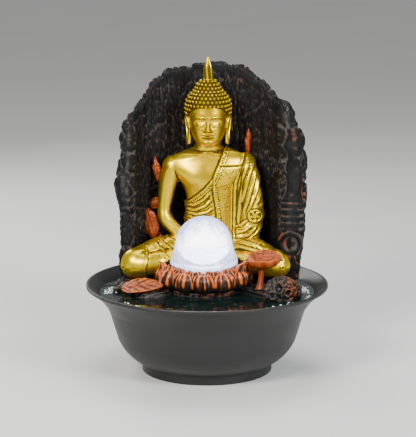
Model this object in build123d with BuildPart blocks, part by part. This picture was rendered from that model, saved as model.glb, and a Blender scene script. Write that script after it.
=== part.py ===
"""Tabletop water fountain: a seated figure in a rock grotto, with a lit ball turning in a lotus cup.

Millimetres, +Z up, the front faces -Y. The origin is on the table, under the middle of the bowl.
A resin sculpture stands in a plastic bowl of water. A small pump on the bowl's floor feeds a jet
under the ball and two spouts in the grotto wall.
"""

import os
from math import asin, cos, pi, radians, sin, sqrt

from build123d import *

os.makedirs("parts", exist_ok=True)

# ---------------------------------------------------------------- driving sizes
gap = 0.3  # between pieces that stand beside each other
running_gap = 0.05  # radial play of a shaft or a sliding tube

rim_radius = 115
bowl_height = 84
bowl_wall = 2.4
foot_radius = 62
foot_height = 9
foot_ring_wall = 3
belly_radius, belly_height = 85, 31  # where the round belly runs into the side
collar_radius, collar_height = 93.6, 60  # where the side begins to flare
flare_sag = 1.5 / 21.4  # the flare's bow, as a share of its reach

deck_drop = 4  # deck top below the rim
deck_thickness = 10
skirt_wall = 5
skirt_y = 8  # the skirt stands a little behind the bowl's middle

wall_front_y = 30  # front edges of the grotto wall
wall_side_thickness = 26
wall_back_thickness = 12
flare_share = 6 / 21.4  # how much of the bowl's flare the wall takes up, each side
wall_height = 206  # above the deck

figure_x = 1
torso_depth = 36
torso_stand = 5.2  # the chest is this far behind the grotto's front edges
head_radius = 22.5
head_height = 58
neck_radius = 13
finial_height = 27

ball_radius = 27
ball_film = 0.4  # water under the ball
feature_x = -3  # the ball, cup and pump stand on this line
dish_wall = 1.8
dish_lip_height = 5
led_height = 7
lotus_floor = 2.5
lotus_wall = 4
petal_reach = 8  # how far the petal tips stand out of the cup
petal_count = 16

hose_radius = 4
hose_bore = 2.8
branch_radius = 2.5
spout_x = 50
spout_height = 88  # above the deck
spout_radius = 4.2

pump_width = 36
pump_length = 30
pump_height = 30
volute_length = 14
strainer_length = 9
cup_height = 4
shaft_radius = 1.25
magnet_radius = 9.5
impeller_radius = 11


def finish(part, name):
    """Labels a finished sub-part and writes its STEP file."""
    part.label = name
    export_step(part, f"parts/{name}.step")


def limb(start, end, start_radius, end_radius):
    """Adds a round-ended taper from start to end to the part being built."""
    run = Vector(*end) - Vector(*start)
    lean = asin((start_radius - end_radius) / run.length)
    side = run.cross(Vector(0, 0, 1)).normalized()

    def rim(centre, radius, angle):
        return (centre + radius * sin(angle), radius * cos(angle))

    with BuildSketch(Plane(origin=start, x_dir=run.normalized(), z_dir=side)) as half:
        with BuildLine():
            heel = (-start_radius, 0)
            tip = (run.length + end_radius, 0)
            side_start, side_end = rim(0, start_radius, lean), rim(run.length, end_radius, lean)
            ThreePointArc(heel, rim(0, start_radius, lean / 2 - pi / 4), side_start)
            Line(side_start, side_end)
            ThreePointArc(side_end, rim(run.length, end_radius, lean / 2 + pi / 4), tip)
            Line(tip, heel)
        make_face()
    revolve(half.sketch, axis=Axis(start, run))


# ---------------------------------------------------------------- bowl
neck_edge = foot_radius + 2  # the belly starts this far out, over the foot
floor_top = foot_height + bowl_wall


def bowl_side(inset, bottom):
    """The bowl's side in section from the foot to the lip, inset from its outer skin."""
    start = (neck_edge - inset, bottom)
    belly_end = (belly_radius - inset, belly_height)
    bulge = (start[0] + 0.62 * (belly_end[0] - start[0]), bottom + 0.44 * (belly_height - bottom))
    collar = (collar_radius - inset, collar_height)
    lip = (rim_radius - inset, bowl_height - bowl_wall + inset)
    sag = flare_sag * (lip[0] - collar[0])
    flare = ((collar[0] + lip[0]) / 2 - sag, (collar[1] + lip[1]) / 2 + sag)
    ThreePointArc(start, bulge, belly_end)
    Line(belly_end, collar)
    ThreePointArc(collar, flare, lip)
    return start, lip


with BuildPart() as bowl:
    with BuildSketch(Plane.XZ) as bowl_section:
        with BuildLine():
            start, lip = bowl_side(0, foot_height)
            Polyline(lip, (rim_radius, bowl_height), (0, bowl_height), (0, foot_height), start)
        make_face()
    revolve(axis=Axis.Z)
    with BuildSketch(Plane.XZ) as hollow_section:
        with BuildLine():
            start, lip = bowl_side(bowl_wall, floor_top)
            Polyline(lip, (lip[0], bowl_height + 1), (0, bowl_height + 1), (0, floor_top), start)
        make_face()
    revolve(axis=Axis.Z, mode=Mode.SUBTRACT)
    with BuildSketch():
        Circle(foot_radius)
        Circle(foot_radius - foot_ring_wall, mode=Mode.SUBTRACT)
    extrude(amount=foot_height)
    rim_edges = bowl.edges().filter_by(GeomType.CIRCLE).group_by(Axis.Z)[-1]
    fillet(rim_edges, bowl_wall * 0.3)
finish(bowl.part, "bowl")

# ---------------------------------------------------------------- where things stand
deck_top = bowl_height - deck_drop
deck_bottom = deck_top - deck_thickness
deck_radius = collar_radius - bowl_wall - 1  # passes the collar when the sculpture lifts out
wall_back_y = deck_radius
wall_half_width = deck_radius + flare_share * (rim_radius - collar_radius)
wall_depth = wall_back_y - wall_front_y
wall_inner_width = wall_half_width - wall_side_thickness
wall_inner_depth = wall_depth - wall_back_thickness

torso_y = wall_front_y + torso_stand + torso_depth / 2
lotus_y = torso_y - torso_depth / 2 - 2 - ball_radius
axis_point = (feature_x, lotus_y)

led_bottom = deck_top + lotus_floor
dish_bottom = led_bottom + led_height + 0.8
ball_z = dish_bottom + dish_wall + ball_film + ball_radius
dish_radius = ball_radius + 4.5
seat_radius = 0.62 * ball_radius  # where the dish's seat runs into its flat floor
seat_shell = ball_radius + ball_film
dish_floor = ball_z - sqrt(seat_shell**2 - seat_radius**2)
dish_lip = dish_floor + dish_lip_height
cup_inner = dish_radius + gap
cup_outer = cup_inner + lotus_wall
lotus_radius = cup_outer + petal_reach
petal_top = dish_lip + 1
petal_radius = (petal_top - deck_top) * 0.36


def on_deck(turn, inset):
    """A place on the deck: degrees round from +X, and how far in from the deck's edge."""
    return (
        (deck_radius - inset) * cos(radians(turn)),
        (deck_radius - inset) * sin(radians(turn)),
    )


def wall_inner_y(x):
    """Y of the grotto's inner face at x."""
    return wall_front_y + wall_inner_depth * sqrt(max(0.0, 1 - (x / wall_inner_width) ** 2))


def wall_middle_y(x):
    """Y of the middle of the grotto wall at x."""
    half_width = wall_half_width - wall_side_thickness / 2
    depth = wall_depth - wall_back_thickness / 2
    return wall_front_y + depth * sqrt(1 - (x / half_width) ** 2)


# ---------------------------------------------------------------- pump, on the bowl's floor
pump_x, pump_y = axis_point  # the outlet stands under the cup
pump_bottom = floor_top + cup_height
shaft_z = pump_bottom + pump_height / 2
volute_front = pump_y - volute_length / 2
volute_back = pump_y + volute_length / 2
housing_back = volute_back + pump_length
outlet_radius = hose_bore - running_gap
outlet_top = pump_bottom + pump_height + 9
outlet_foot = shaft_z + impeller_radius + 0.6  # clear of the blades' sweep
well_depth = pump_length - 6
magnet_length = well_depth - 4
impeller_length = 6
cup_radius = 7
cup_places = GridLocations(pump_width - 14, pump_length - 12, 2, 2)
housing_centre = (pump_x, volute_back + pump_length / 2)


def along_y(y):
    """A plane across the pump's shaft, facing the front."""
    return Plane(origin=(pump_x, y, shaft_z), x_dir=(1, 0, 0), z_dir=(0, -1, 0))


def pump_block(y_from, y_to, corner):
    """A rounded block of the pump's section between two places along Y."""
    with BuildSketch(along_y(y_to)) as block:
        RectangleRounded(pump_width, pump_height, corner)
    extrude(block.sketch, amount=y_to - y_from)


with BuildPart() as suction_cups:
    with Locations((*housing_centre, floor_top)):
        with cup_places:
            Cone(
                cup_radius,
                cup_radius * 0.55,
                cup_height,
                align=(Align.CENTER, Align.CENTER, Align.MIN),
            )
            Cylinder(2.5, cup_height + 3, align=(Align.CENTER, Align.CENTER, Align.MIN))
finish(suction_cups.part, "suction_cups")

with BuildPart() as pump_housing:
    pump_block(volute_back, housing_back, 5)
    with BuildSketch(along_y(volute_back)):
        Circle(magnet_radius + 0.8)
    extrude(amount=-well_depth, mode=Mode.SUBTRACT)
    with BuildSketch(along_y(volute_back + well_depth)):
        Circle(shaft_radius + 2)
    extrude(amount=-3, mode=Mode.SUBTRACT)
    with Locations((*housing_centre, pump_bottom)):
        with cup_places:
            Cylinder(2.5, 3, align=(Align.CENTER, Align.CENTER, Align.MIN), mode=Mode.SUBTRACT)
    with BuildSketch(Plane(origin=(pump_x, housing_back, shaft_z + 6), z_dir=(0, 1, 0))):
        Circle(3)
    extrude(amount=-2.5, mode=Mode.SUBTRACT)
    fillet(pump_housing.faces().sort_by(Axis.Y)[-1].outer_wire().edges(), 2)
finish(pump_housing.part, "pump_housing")

with BuildPart() as pump_volute:
    pump_block(volute_front, volute_back, 5)
    with BuildSketch(along_y(volute_back)):
        Circle(impeller_radius + 1.2)
    extrude(amount=volute_length - 3, mode=Mode.SUBTRACT)
    with BuildSketch(along_y(volute_back)):
        Circle(5)
        with PolarLocations(0, 2, start_angle=90, angular_range=180):
            Rectangle(2, 10, mode=Mode.SUBTRACT)
    extrude(amount=volute_length, mode=Mode.SUBTRACT)
    with BuildSketch(along_y(volute_front)):
        Circle(shaft_radius + 2)
    extrude(amount=-3)
    with BuildSketch(along_y(volute_back)):
        Circle(shaft_radius)
    extrude(amount=volute_length - 2, mode=Mode.SUBTRACT)
    with Locations((pump_x, pump_y, outlet_foot)):
        Cylinder(
            outlet_radius,
            outlet_top - outlet_foot,
            align=(Align.CENTER, Align.CENTER, Align.MIN),
        )
        Cylinder(
            outlet_radius - 0.9,
            outlet_top - outlet_foot,
            align=(Align.CENTER, Align.CENTER, Align.MIN),
            mode=Mode.SUBTRACT,
        )
finish(pump_volute.part, "pump_volute")

dial_radius = 6.5
dial_axis_z = shaft_z
strainer_front = volute_front - strainer_length

with BuildPart() as pump_strainer:
    pump_block(strainer_front, volute_front, 5)
    with BuildSketch(along_y(volute_front)):
        RectangleRounded(pump_width - 5, pump_height - 5, 3)
    extrude(amount=strainer_length - 2.5, mode=Mode.SUBTRACT)
    with BuildSketch(along_y(strainer_front)):
        with Locations((-pump_width / 3, 0), (pump_width / 3, 0)):
            with GridLocations(0, 4.5, 1, 5):
                SlotOverall(8, 1.8)
        Circle(dial_radius + gap)
    extrude(amount=-2.5, mode=Mode.SUBTRACT)
    with BuildSketch(along_y(strainer_front + 2.5)):
        Rectangle(2 * dial_radius + 3, 3)
        Circle(2.6)
        Circle(1.2 + running_gap, mode=Mode.SUBTRACT)
    extrude(amount=-1.2)
finish(pump_strainer.part, "pump_strainer")

with BuildPart() as flow_dial:
    with BuildSketch(along_y(strainer_front + 2.2)):
        Circle(dial_radius)
        with PolarLocations(dial_radius * 0.62, 2):
            Circle(1.5, mode=Mode.SUBTRACT)
    extrude(amount=2.2)
    with BuildSketch(along_y(strainer_front)):
        Rectangle(dial_radius * 1.5, 1.6)
    extrude(amount=1.4)
    with BuildSketch(along_y(strainer_front + 2.2)):
        Circle(1.2)
    extrude(amount=-1.5)
finish(flow_dial.part, "flow_dial")

magnet_front = volute_back + 1.5

with BuildPart() as rotor_magnet:
    with BuildSketch(along_y(magnet_front)):
        Circle(magnet_radius)
        Circle(shaft_radius + running_gap, mode=Mode.SUBTRACT)
    extrude(amount=-magnet_length)
finish(rotor_magnet.part, "rotor_magnet")

with BuildPart() as impeller:
    with BuildSketch(along_y(volute_back - 1)):
        with PolarLocations(0, 6):
            with Locations((impeller_radius / 2, 0)):
                Rectangle(impeller_radius, 1.4)
    extrude(amount=impeller_length)
    with BuildSketch(along_y(magnet_front)):
        Circle(4)
    extrude(amount=impeller_length + magnet_front - volute_back + 1)
    with BuildSketch(along_y(magnet_front)):
        Circle(shaft_radius + running_gap)
    extrude(amount=impeller_length + magnet_front - volute_back + 1, mode=Mode.SUBTRACT)
finish(impeller.part, "impeller")

with BuildPart() as rotor_shaft:
    with BuildSketch(along_y(volute_front + 2)):
        Circle(shaft_radius)
    extrude(amount=-(volute_back + well_depth + 2 - volute_front - 2))
finish(rotor_shaft.part, "rotor_shaft")

with BuildPart() as shaft_seat:
    with BuildSketch(along_y(volute_back + well_depth)):
        Circle(shaft_radius + 2)
    extrude(amount=-3)
    with BuildSketch(along_y(volute_back + well_depth)):
        Circle(shaft_radius)
    extrude(amount=-2, mode=Mode.SUBTRACT)
finish(shaft_seat.part, "shaft_seat")

with BuildPart() as cable_gland:
    with BuildSketch(Plane(origin=(pump_x, housing_back - 2.5, shaft_z + 6), z_dir=(0, 1, 0))):
        Circle(3)
    extrude(amount=2.5)
    with BuildSketch(Plane(origin=(pump_x, housing_back, shaft_z + 6), z_dir=(0, 1, 0))):
        Circle(4)
    extrude(amount=6, taper=12)
    with BuildSketch(Plane(origin=(pump_x, housing_back + 6, shaft_z + 6), z_dir=(0, 1, 0))):
        Circle(1.6)
    extrude(amount=-7, mode=Mode.SUBTRACT)
finish(cable_gland.part, "cable_gland")

# ---------------------------------------------------------------- water lines in the sculpture
splitter_bottom = pump_bottom + pump_height + 1
splitter_top = outlet_top + 10
riser_z = splitter_top - 6
riser_y = wall_middle_y(0)
riser_top = deck_top + spout_height - 7
tee_z = deck_top + spout_height
splitter_radius = hose_bore + 2.4
jet_top = dish_bottom + dish_wall

with BuildPart() as flow_splitter:
    with Locations((*axis_point, splitter_bottom)):
        Cylinder(
            splitter_radius,
            splitter_top - splitter_bottom,
            align=(Align.CENTER, Align.CENTER, Align.MIN),
        )
    with BuildSketch(Plane(origin=(feature_x, lotus_y, riser_z), z_dir=(0, 1, 0))):
        Circle(hose_bore)
    extrude(amount=splitter_radius + 10)
    with Locations((*axis_point, splitter_bottom)):
        Cylinder(
            hose_bore,
            splitter_top - splitter_bottom,
            align=(Align.CENTER, Align.CENTER, Align.MIN),
            mode=Mode.SUBTRACT,
        )
    with BuildSketch(Plane(origin=(feature_x, lotus_y, riser_z), z_dir=(0, 1, 0))):
        Circle(hose_bore - 1)
    extrude(amount=splitter_radius + 10, mode=Mode.SUBTRACT)
finish(flow_splitter.part, "flow_splitter")

with BuildPart() as jet_tube:
    with Locations((*axis_point, riser_z + hose_bore + 0.5)):
        Cylinder(
            hose_bore,
            jet_top - riser_z - hose_bore - 0.5,
            align=(Align.CENTER, Align.CENTER, Align.MIN),
        )
        Cylinder(
            hose_bore - 1,
            jet_top - riser_z - hose_bore - 0.5,
            align=(Align.CENTER, Align.CENTER, Align.MIN),
            mode=Mode.SUBTRACT,
        )
finish(jet_tube.part, "jet_tube")

riser_start = (feature_x, lotus_y + splitter_radius + 1, riser_z)
riser_bend = min(14.0, (riser_y - riser_start[1]) / 3)
riser_points = [riser_start, (feature_x, riser_y, riser_z), (feature_x, riser_y, riser_top)]

with BuildPart() as riser_tube:
    with BuildLine() as riser_path:
        FilletPolyline(*riser_points, radius=riser_bend)
    with BuildSketch(Plane(origin=riser_start, z_dir=(0, 1, 0))):
        Circle(hose_radius)
        Circle(hose_bore, mode=Mode.SUBTRACT)
    sweep(path=riser_path.line)
finish(riser_tube.part, "riser_tube")

tee_height = 12
branch_start = 6  # from the tee's middle to where its side ports end


def branch_plane(side, distance):
    """A plane across the branch on that side, at a distance from the tee's middle."""
    run = Vector(side * spout_x - feature_x, wall_middle_y(spout_x) - riser_y, 0).normalized()
    return Plane(origin=Vector(feature_x, riser_y, tee_z) + run * distance, z_dir=run)


def branch_length(side):
    """From the tee's middle to the spout on that side."""
    return sqrt((side * spout_x - feature_x) ** 2 + (wall_middle_y(spout_x) - riser_y) ** 2)


with BuildPart() as outlet_tee:
    with Locations((feature_x, riser_y, riser_top)):
        Cylinder(hose_radius, tee_height, align=(Align.CENTER, Align.CENTER, Align.MIN))
    for side in (-1, 1):
        with BuildSketch(branch_plane(side, 0)):
            Circle(branch_radius)
        extrude(amount=branch_start)
    with Locations((feature_x, riser_y, riser_top)):
        Cylinder(
            hose_bore,
            tee_height - 2,
            align=(Align.CENTER, Align.CENTER, Align.MIN),
            mode=Mode.SUBTRACT,
        )
    for side in (-1, 1):
        with BuildSketch(branch_plane(side, 0)):
            Circle(branch_radius - 1)
        extrude(amount=branch_start, mode=Mode.SUBTRACT)
finish(outlet_tee.part, "outlet_tee")

for side, name in ((-1, "left"), (1, "right")):
    with BuildPart() as branch:
        with BuildSketch(branch_plane(side, branch_start)):
            Circle(branch_radius)
            Circle(branch_radius - 1, mode=Mode.SUBTRACT)
        extrude(amount=branch_length(side) - branch_start - spout_radius + 0.8)
    finish(branch.part, f"branch_tube_{name}")

spout_back = wall_middle_y(spout_x) + 3
spout_front = wall_inner_y(spout_x)


def spout_plane(side, y):
    """A plane across the spout on that side, facing the front."""
    return Plane(origin=(side * spout_x, y, tee_z), x_dir=(1, 0, 0), z_dir=(0, -1, 0))


for side, name in ((-1, "left"), (1, "right")):
    with BuildPart() as spout:
        with BuildSketch(spout_plane(side, spout_back)):
            Circle(spout_radius)
        extrude(amount=spout_back - spout_front)
        with BuildSketch(spout_plane(side, spout_front)):
            Circle(branch_radius - 0.6)
        extrude(amount=-(spout_back - spout_front - 1.5), mode=Mode.SUBTRACT)
        with BuildSketch(branch_plane(side, branch_length(side))):
            Circle(branch_radius)
        extrude(amount=-2 * spout_radius, mode=Mode.SUBTRACT)
    finish(spout.part, f"spout_{name}")

# ---------------------------------------------------------------- rock base
skirt_radius = neck_edge - bowl_wall - skirt_y - 1.6
# Lobes of rock that carry the pads and the stone: turn, inset from the deck's edge, radius.
lobes = [(195.4, 30, 17), (-6.3, 36, 13), (-16.9, 21.2, 14), (-25.2, 12.8, 13)]
ledge_y = -8  # front of the deck beside the cup

with BuildPart() as rock_base:
    with BuildSketch(Plane.XY.offset(deck_bottom)) as deck_plan:
        Circle(deck_radius)
        with Locations((0, ledge_y)):
            Rectangle(
                2 * rim_radius,
                2 * rim_radius,
                align=(Align.CENTER, Align.MAX),
                mode=Mode.SUBTRACT,
            )
        with Locations(axis_point):
            Circle(lotus_radius - 3)
        for turn, inset, lobe_radius in lobes:
            with Locations(on_deck(turn, inset)):
                Circle(lobe_radius)
    extrude(amount=deck_thickness)
    with BuildSketch(Plane.XY.offset(floor_top)):
        with Locations((0, skirt_y)):
            Circle(skirt_radius)
    extrude(amount=deck_bottom - floor_top)
    with BuildSketch(Plane.XY.offset(floor_top)):
        with Locations((0, skirt_y)):
            Circle(skirt_radius - skirt_wall)
    extrude(amount=deck_bottom - floor_top, mode=Mode.SUBTRACT)
    # water gets in through four arches at the foot of the skirt
    with BuildSketch(Plane.XZ.offset(-skirt_y)):
        with Locations((0, floor_top)):
            SlotOverall(20, 14, rotation=90)
    extrude(amount=2 * skirt_radius, both=True, mode=Mode.SUBTRACT)
    with BuildSketch(Plane.YZ):
        with Locations((skirt_y, floor_top)):
            SlotOverall(20, 14, rotation=90)
    extrude(amount=2 * skirt_radius, both=True, mode=Mode.SUBTRACT)
    # the riser leaves through the back of the skirt and comes up through the deck
    with BuildSketch(Plane.XZ.offset(-skirt_y)):
        with Locations((feature_x, riser_z)):
            Circle(hose_radius + gap)
    extrude(amount=-2 * skirt_radius, mode=Mode.SUBTRACT)
    with BuildLine() as riser_channel:
        FilletPolyline(*riser_points, radius=riser_bend)
    with BuildSketch(Plane(origin=riser_start, z_dir=(0, 1, 0))):
        Circle(hose_radius + gap)
    sweep(path=riser_channel.line, mode=Mode.SUBTRACT)
    with Locations((*axis_point, deck_bottom)):
        Cylinder(
            splitter_radius + gap,
            max(splitter_top - deck_bottom, 0) + gap,
            align=(Align.CENTER, Align.CENTER, Align.MIN),
            mode=Mode.SUBTRACT,
        )
        Cylinder(
            hose_bore + gap,
            deck_thickness,
            align=(Align.CENTER, Align.CENTER, Align.MIN),
            mode=Mode.SUBTRACT,
        )
finish(rock_base.part, "rock_base")

# ---------------------------------------------------------------- leaves, buds and pads
peg_radius = 1.2
peg_length = 5


leaf_stand = 2.6  # from the wall to a leaf's back


def leaf_place(x, z, tilt):
    """A plane just off the grotto's inner face at x and z, facing out of it, turned by tilt."""
    normal = Vector(
        -x / wall_inner_width**2,
        -(wall_inner_y(x) - wall_front_y) / wall_inner_depth**2,
        0,
    ).normalized()
    level = Vector(-normal.Y, normal.X, 0)
    turned = level * cos(radians(tilt)) + Vector(0, 0, sin(radians(tilt)))
    return Plane(
        origin=Vector(x, wall_inner_y(x), z) + normal * leaf_stand,
        x_dir=turned,
        z_dir=normal,
    )


def blade_edge(length, width):
    """The edge of a pointed leaf in plan, point up, about its middle."""
    tip, heel = (0, length / 2), (0, -length / 2)
    ThreePointArc(heel, (-width / 2, -length * 0.08), tip)
    ThreePointArc(tip, (width / 2, -length * 0.08), heel)


leaves = {
    # name: (x, z above the deck, length, width, tilt)
    "bud_right": (40, 131, 30, 7, 0),
    "bud_left": (-51, 106, 26, 8, -12),
    "leaf_upper": (-50, 78, 15, 9, 20),
    "leaf_lower": (-54, 55, 32, 15, -14),
}
for name, (x, rise, length, width, tilt) in leaves.items():
    with BuildPart() as leaf:
        with BuildSketch(leaf_place(x, deck_top + rise, tilt)):
            with BuildLine():
                blade_edge(length, width)
            make_face()
        extrude(amount=2.2)
        with BuildSketch(leaf_place(x, deck_top + rise, tilt)):
            Circle(peg_radius)
        extrude(amount=-peg_length)
    finish(leaf.part, name)

left_pad = (*on_deck(198.4, 27), 36, 26)  # x, y, width, depth
right_pad = (*on_deck(-9.5, 35.5), 33, 22)
right_pad_rise = 27
pad_thickness = 5
pad_tilt = 18

with BuildPart() as pad_left:
    with BuildSketch(Plane.XY.offset(deck_top)):
        with Locations(left_pad[:2]):
            Ellipse(left_pad[2] / 2, left_pad[3] / 2)
    extrude(amount=pad_thickness)
    fillet(pad_left.edges().group_by(Axis.Z)[-1], pad_thickness * 0.3)
finish(pad_left.part, "pad_left")

with BuildPart() as pad_right:
    pad_plane = Plane(
        origin=(right_pad[0], right_pad[1], deck_top + right_pad_rise),
        x_dir=(1, 0, 0),
        z_dir=(0, -sin(radians(pad_tilt)), cos(radians(pad_tilt))),
    )
    with BuildSketch(pad_plane):
        Ellipse(right_pad[2] / 2, right_pad[3] / 2)
    extrude(amount=-pad_thickness)
    with BuildSketch(Plane.XY.offset(deck_top)):
        with Locations((right_pad[0], right_pad[1])):
            Circle(2.5)
    extrude(amount=right_pad_rise - pad_thickness / 2)
finish(pad_right.part, "pad_right")

stone = (*on_deck(-25, 12), 13, 12)  # x, y, radius, height over the deck

with BuildPart() as front_stone:
    with Locations((stone[0], stone[1], deck_top)):
        Cone(
            stone[2] - 2,
            stone[2] * 0.5,
            stone[3],
            align=(Align.CENTER, Align.CENTER, Align.MIN),
        )
    fillet(front_stone.edges().group_by(Axis.Z)[-1], stone[2] * 0.25)
finish(front_stone.part, "front_stone")

# ---------------------------------------------------------------- grotto wall
# The arch from the front: shares of the half width and of the height over the deck.
arch_outline = [
    (-0.87, 0), (-0.88, 0.32), (-0.94, 0.45), (-0.87, 0.58), (-0.84, 0.69), (-0.78, 0.73),
    (-0.68, 0.81), (-0.57, 0.89), (-0.40, 0.955), (-0.17, 0.96), (-0.12, 1.0), (0.21, 0.985),
    (0.37, 0.975), (0.61, 0.89), (0.71, 0.83), (0.79, 0.81), (0.83, 0.72), (0.93, 0.675),
    (0.955, 0.51), (1.0, 0.42), (0.98, 0.22), (0.955, 0.11), (0.94, 0),
]  # fmt: skip

with BuildPart() as rock_backdrop:
    with BuildSketch(Plane.XY.offset(deck_top)):
        with Locations((0, wall_front_y)):
            Ellipse(wall_half_width, wall_depth)
            Ellipse(wall_inner_width, wall_inner_depth, mode=Mode.SUBTRACT)
            Rectangle(
                4 * wall_half_width,
                2 * wall_depth,
                align=(Align.CENTER, Align.MAX),
                mode=Mode.SUBTRACT,
            )
    extrude(amount=wall_height)
    with BuildSketch(Plane.XZ.offset(-wall_back_y - 5)):
        with BuildLine():
            Polyline(
                *[(x * wall_half_width, deck_top + z * wall_height) for x, z in arch_outline],
                close=True,
            )
        make_face()
    extrude(amount=2 * wall_back_y, mode=Mode.INTERSECT)
    # channels for the riser, the tee, the branches and the spouts
    with BuildSketch(Plane.XY.offset(deck_top)):
        with Locations((feature_x, riser_y)):
            Circle(hose_radius + gap)
    extrude(amount=riser_top + tee_height + gap - deck_top, mode=Mode.SUBTRACT)
    for side in (-1, 1):
        with BuildSketch(branch_plane(side, 0)):
            Circle(branch_radius + gap)
        extrude(amount=branch_length(side), mode=Mode.SUBTRACT)
        with BuildSketch(spout_plane(side, spout_back + gap)):
            Circle(spout_radius + gap)
        extrude(amount=spout_back - spout_front + wall_back_thickness, mode=Mode.SUBTRACT)
    # sockets for the leaf pegs
    for x, rise, length, width, tilt in leaves.values():
        with BuildSketch(leaf_place(x, deck_top + rise, tilt)):
            Circle(peg_radius)
        extrude(amount=-peg_length, mode=Mode.SUBTRACT)
finish(rock_backdrop.part, "rock_backdrop")

# ---------------------------------------------------------------- seated figure
neck_z = deck_top + 122
tenon_radius, tenon_depth = 7, 8
lap_recess_top = petal_top + gap
knee_spread = wall_inner_width - 1.7  # the knees come forward past the grotto's front edges
knee_y = wall_front_y - 17

# The trunk's ellipses: rise over the deck, half width, half depth.
trunk = [
    (0, 36, 18), (22, 30, 17), (45, 24, 16), (70, 25, 16), (95, 34, 17), (110, 36, 14), (122, 15, 12),
]  # fmt: skip

with BuildPart() as figure_body:
    # crossed legs: a thigh and a shin each side
    for side, knee_z, knee_radius in ((-1, 17.5, 13.5), (1, 20, 12.5)):
        hip = (figure_x + side * 17, torso_y, deck_top + 21)
        knee = (figure_x + side * knee_spread, knee_y, deck_top + knee_z)
        shin = (figure_x + side * 25, knee_y + 4, deck_top + knee_z - 3)
        limb(hip, knee, 18, knee_radius)
        limb(knee, shin, knee_radius - 0.8, 10)
    # trunk: ellipses from the seat to the shoulders
    for rise, half_width, half_depth in trunk:
        with BuildSketch(Plane.XY.offset(deck_top + rise)):
            with Locations((figure_x + 2, torso_y)):
                Ellipse(half_width, half_depth * torso_depth / 36)
    loft()
    # bare right arm and draped left arm
    shoulder_z, elbow_z, wrist_z = deck_top + 108, deck_top + 61, deck_top + 38
    limb((figure_x - 35, torso_y - 2, shoulder_z), (figure_x - 40, torso_y - 5, elbow_z), 10.5, 8)
    limb((figure_x - 40, torso_y - 5, elbow_z), (figure_x - 17, torso_y - 13, wrist_z), 7.8, 6.2)
    limb((figure_x + 36, torso_y - 2, shoulder_z), (figure_x + 43, torso_y - 5, elbow_z), 11.5, 11)
    limb((figure_x + 43, torso_y - 5, elbow_z), (figure_x + 20, torso_y - 11, wrist_z), 10.8, 8.5)
    # flat seat on the deck
    with BuildSketch(Plane.XY.offset(deck_top)):
        Rectangle(4 * rim_radius, 4 * rim_radius)
    extrude(amount=-60, mode=Mode.SUBTRACT)
    # the lap leaves room for the lotus cup, and the trunk for the ball
    with Locations((*axis_point, deck_top)):
        Cylinder(
            cup_outer + gap,
            lap_recess_top - deck_top,
            align=(Align.CENTER, Align.CENTER, Align.MIN),
            mode=Mode.SUBTRACT,
        )
    with Locations((feature_x, lotus_y + petal_radius, deck_top)):
        Box(
            2 * (lotus_radius + gap),
            lotus_radius * 2,
            lap_recess_top - deck_top,
            align=(Align.CENTER, Align.MAX, Align.MIN),
            mode=Mode.SUBTRACT,
        )
    with Locations((*axis_point, ball_z)):
        Sphere(ball_radius + 1, mode=Mode.SUBTRACT)
    with Locations((figure_x, torso_y, neck_z)):
        Cylinder(
            tenon_radius,
            tenon_depth,
            align=(Align.CENTER, Align.CENTER, Align.MAX),
            mode=Mode.SUBTRACT,
        )
finish(figure_body.part, "figure_body")

head_y = torso_y - 3
head_bottom = neck_z + 7
head_top = head_bottom + head_height
finial_radius = 5
finial_peg = 5

with BuildPart() as figure_head:
    with BuildSketch(Plane.XZ.offset(-head_y)):
        with BuildLine():
            crown = Spline(
                (figure_x, head_bottom),
                (figure_x + head_radius * 0.62, head_bottom + head_height * 0.1),
                (figure_x + head_radius, head_bottom + head_height * 0.5),
                (figure_x + head_radius * 0.72, head_bottom + head_height * 0.81),
                (figure_x + finial_radius + 2, head_top),
                tangents=[(1, 0), (-1, 0.35)],
            )
            Polyline(crown @ 1, (figure_x, head_top), (figure_x, head_bottom))
        make_face()
    revolve(axis=Axis((figure_x, head_y, 0), (0, 0, 1)))
    with Locations((figure_x, torso_y, neck_z)):
        Cylinder(neck_radius, 16, align=(Align.CENTER, Align.CENTER, Align.MIN))
        Cylinder(tenon_radius, tenon_depth, align=(Align.CENTER, Align.CENTER, Align.MAX))
    with Locations((figure_x, head_y, head_top)):
        Cylinder(
            finial_radius * 0.4,
            finial_peg,
            align=(Align.CENTER, Align.CENTER, Align.MAX),
            mode=Mode.SUBTRACT,
        )
finish(figure_head.part, "figure_head")

with BuildPart() as figure_finial:
    with BuildSketch(Plane.XZ.offset(-head_y)):
        with BuildLine():
            flame = Spline(
                (figure_x + finial_radius, head_top),
                (figure_x + finial_radius * 0.84, head_top + finial_height * 0.3),
                (figure_x + finial_radius * 0.9, head_top + finial_height * 0.55),
                (figure_x + 0.4, head_top + finial_height),
            )
            Polyline(flame @ 1, (figure_x, head_top + finial_height), (figure_x, head_top), flame @ 0)
        make_face()
    revolve(axis=Axis((figure_x, head_y, 0), (0, 0, 1)))
    with Locations((figure_x, head_y, head_top)):
        Cylinder(finial_radius * 0.4, finial_peg, align=(Align.CENTER, Align.CENTER, Align.MAX))
finish(figure_finial.part, "figure_finial")

# ---------------------------------------------------------------- lotus cup, light, dish and ball
led_outer = cup_inner - 8
led_inner = hose_bore + 2
cup_top = dish_floor - dish_wall

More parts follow.
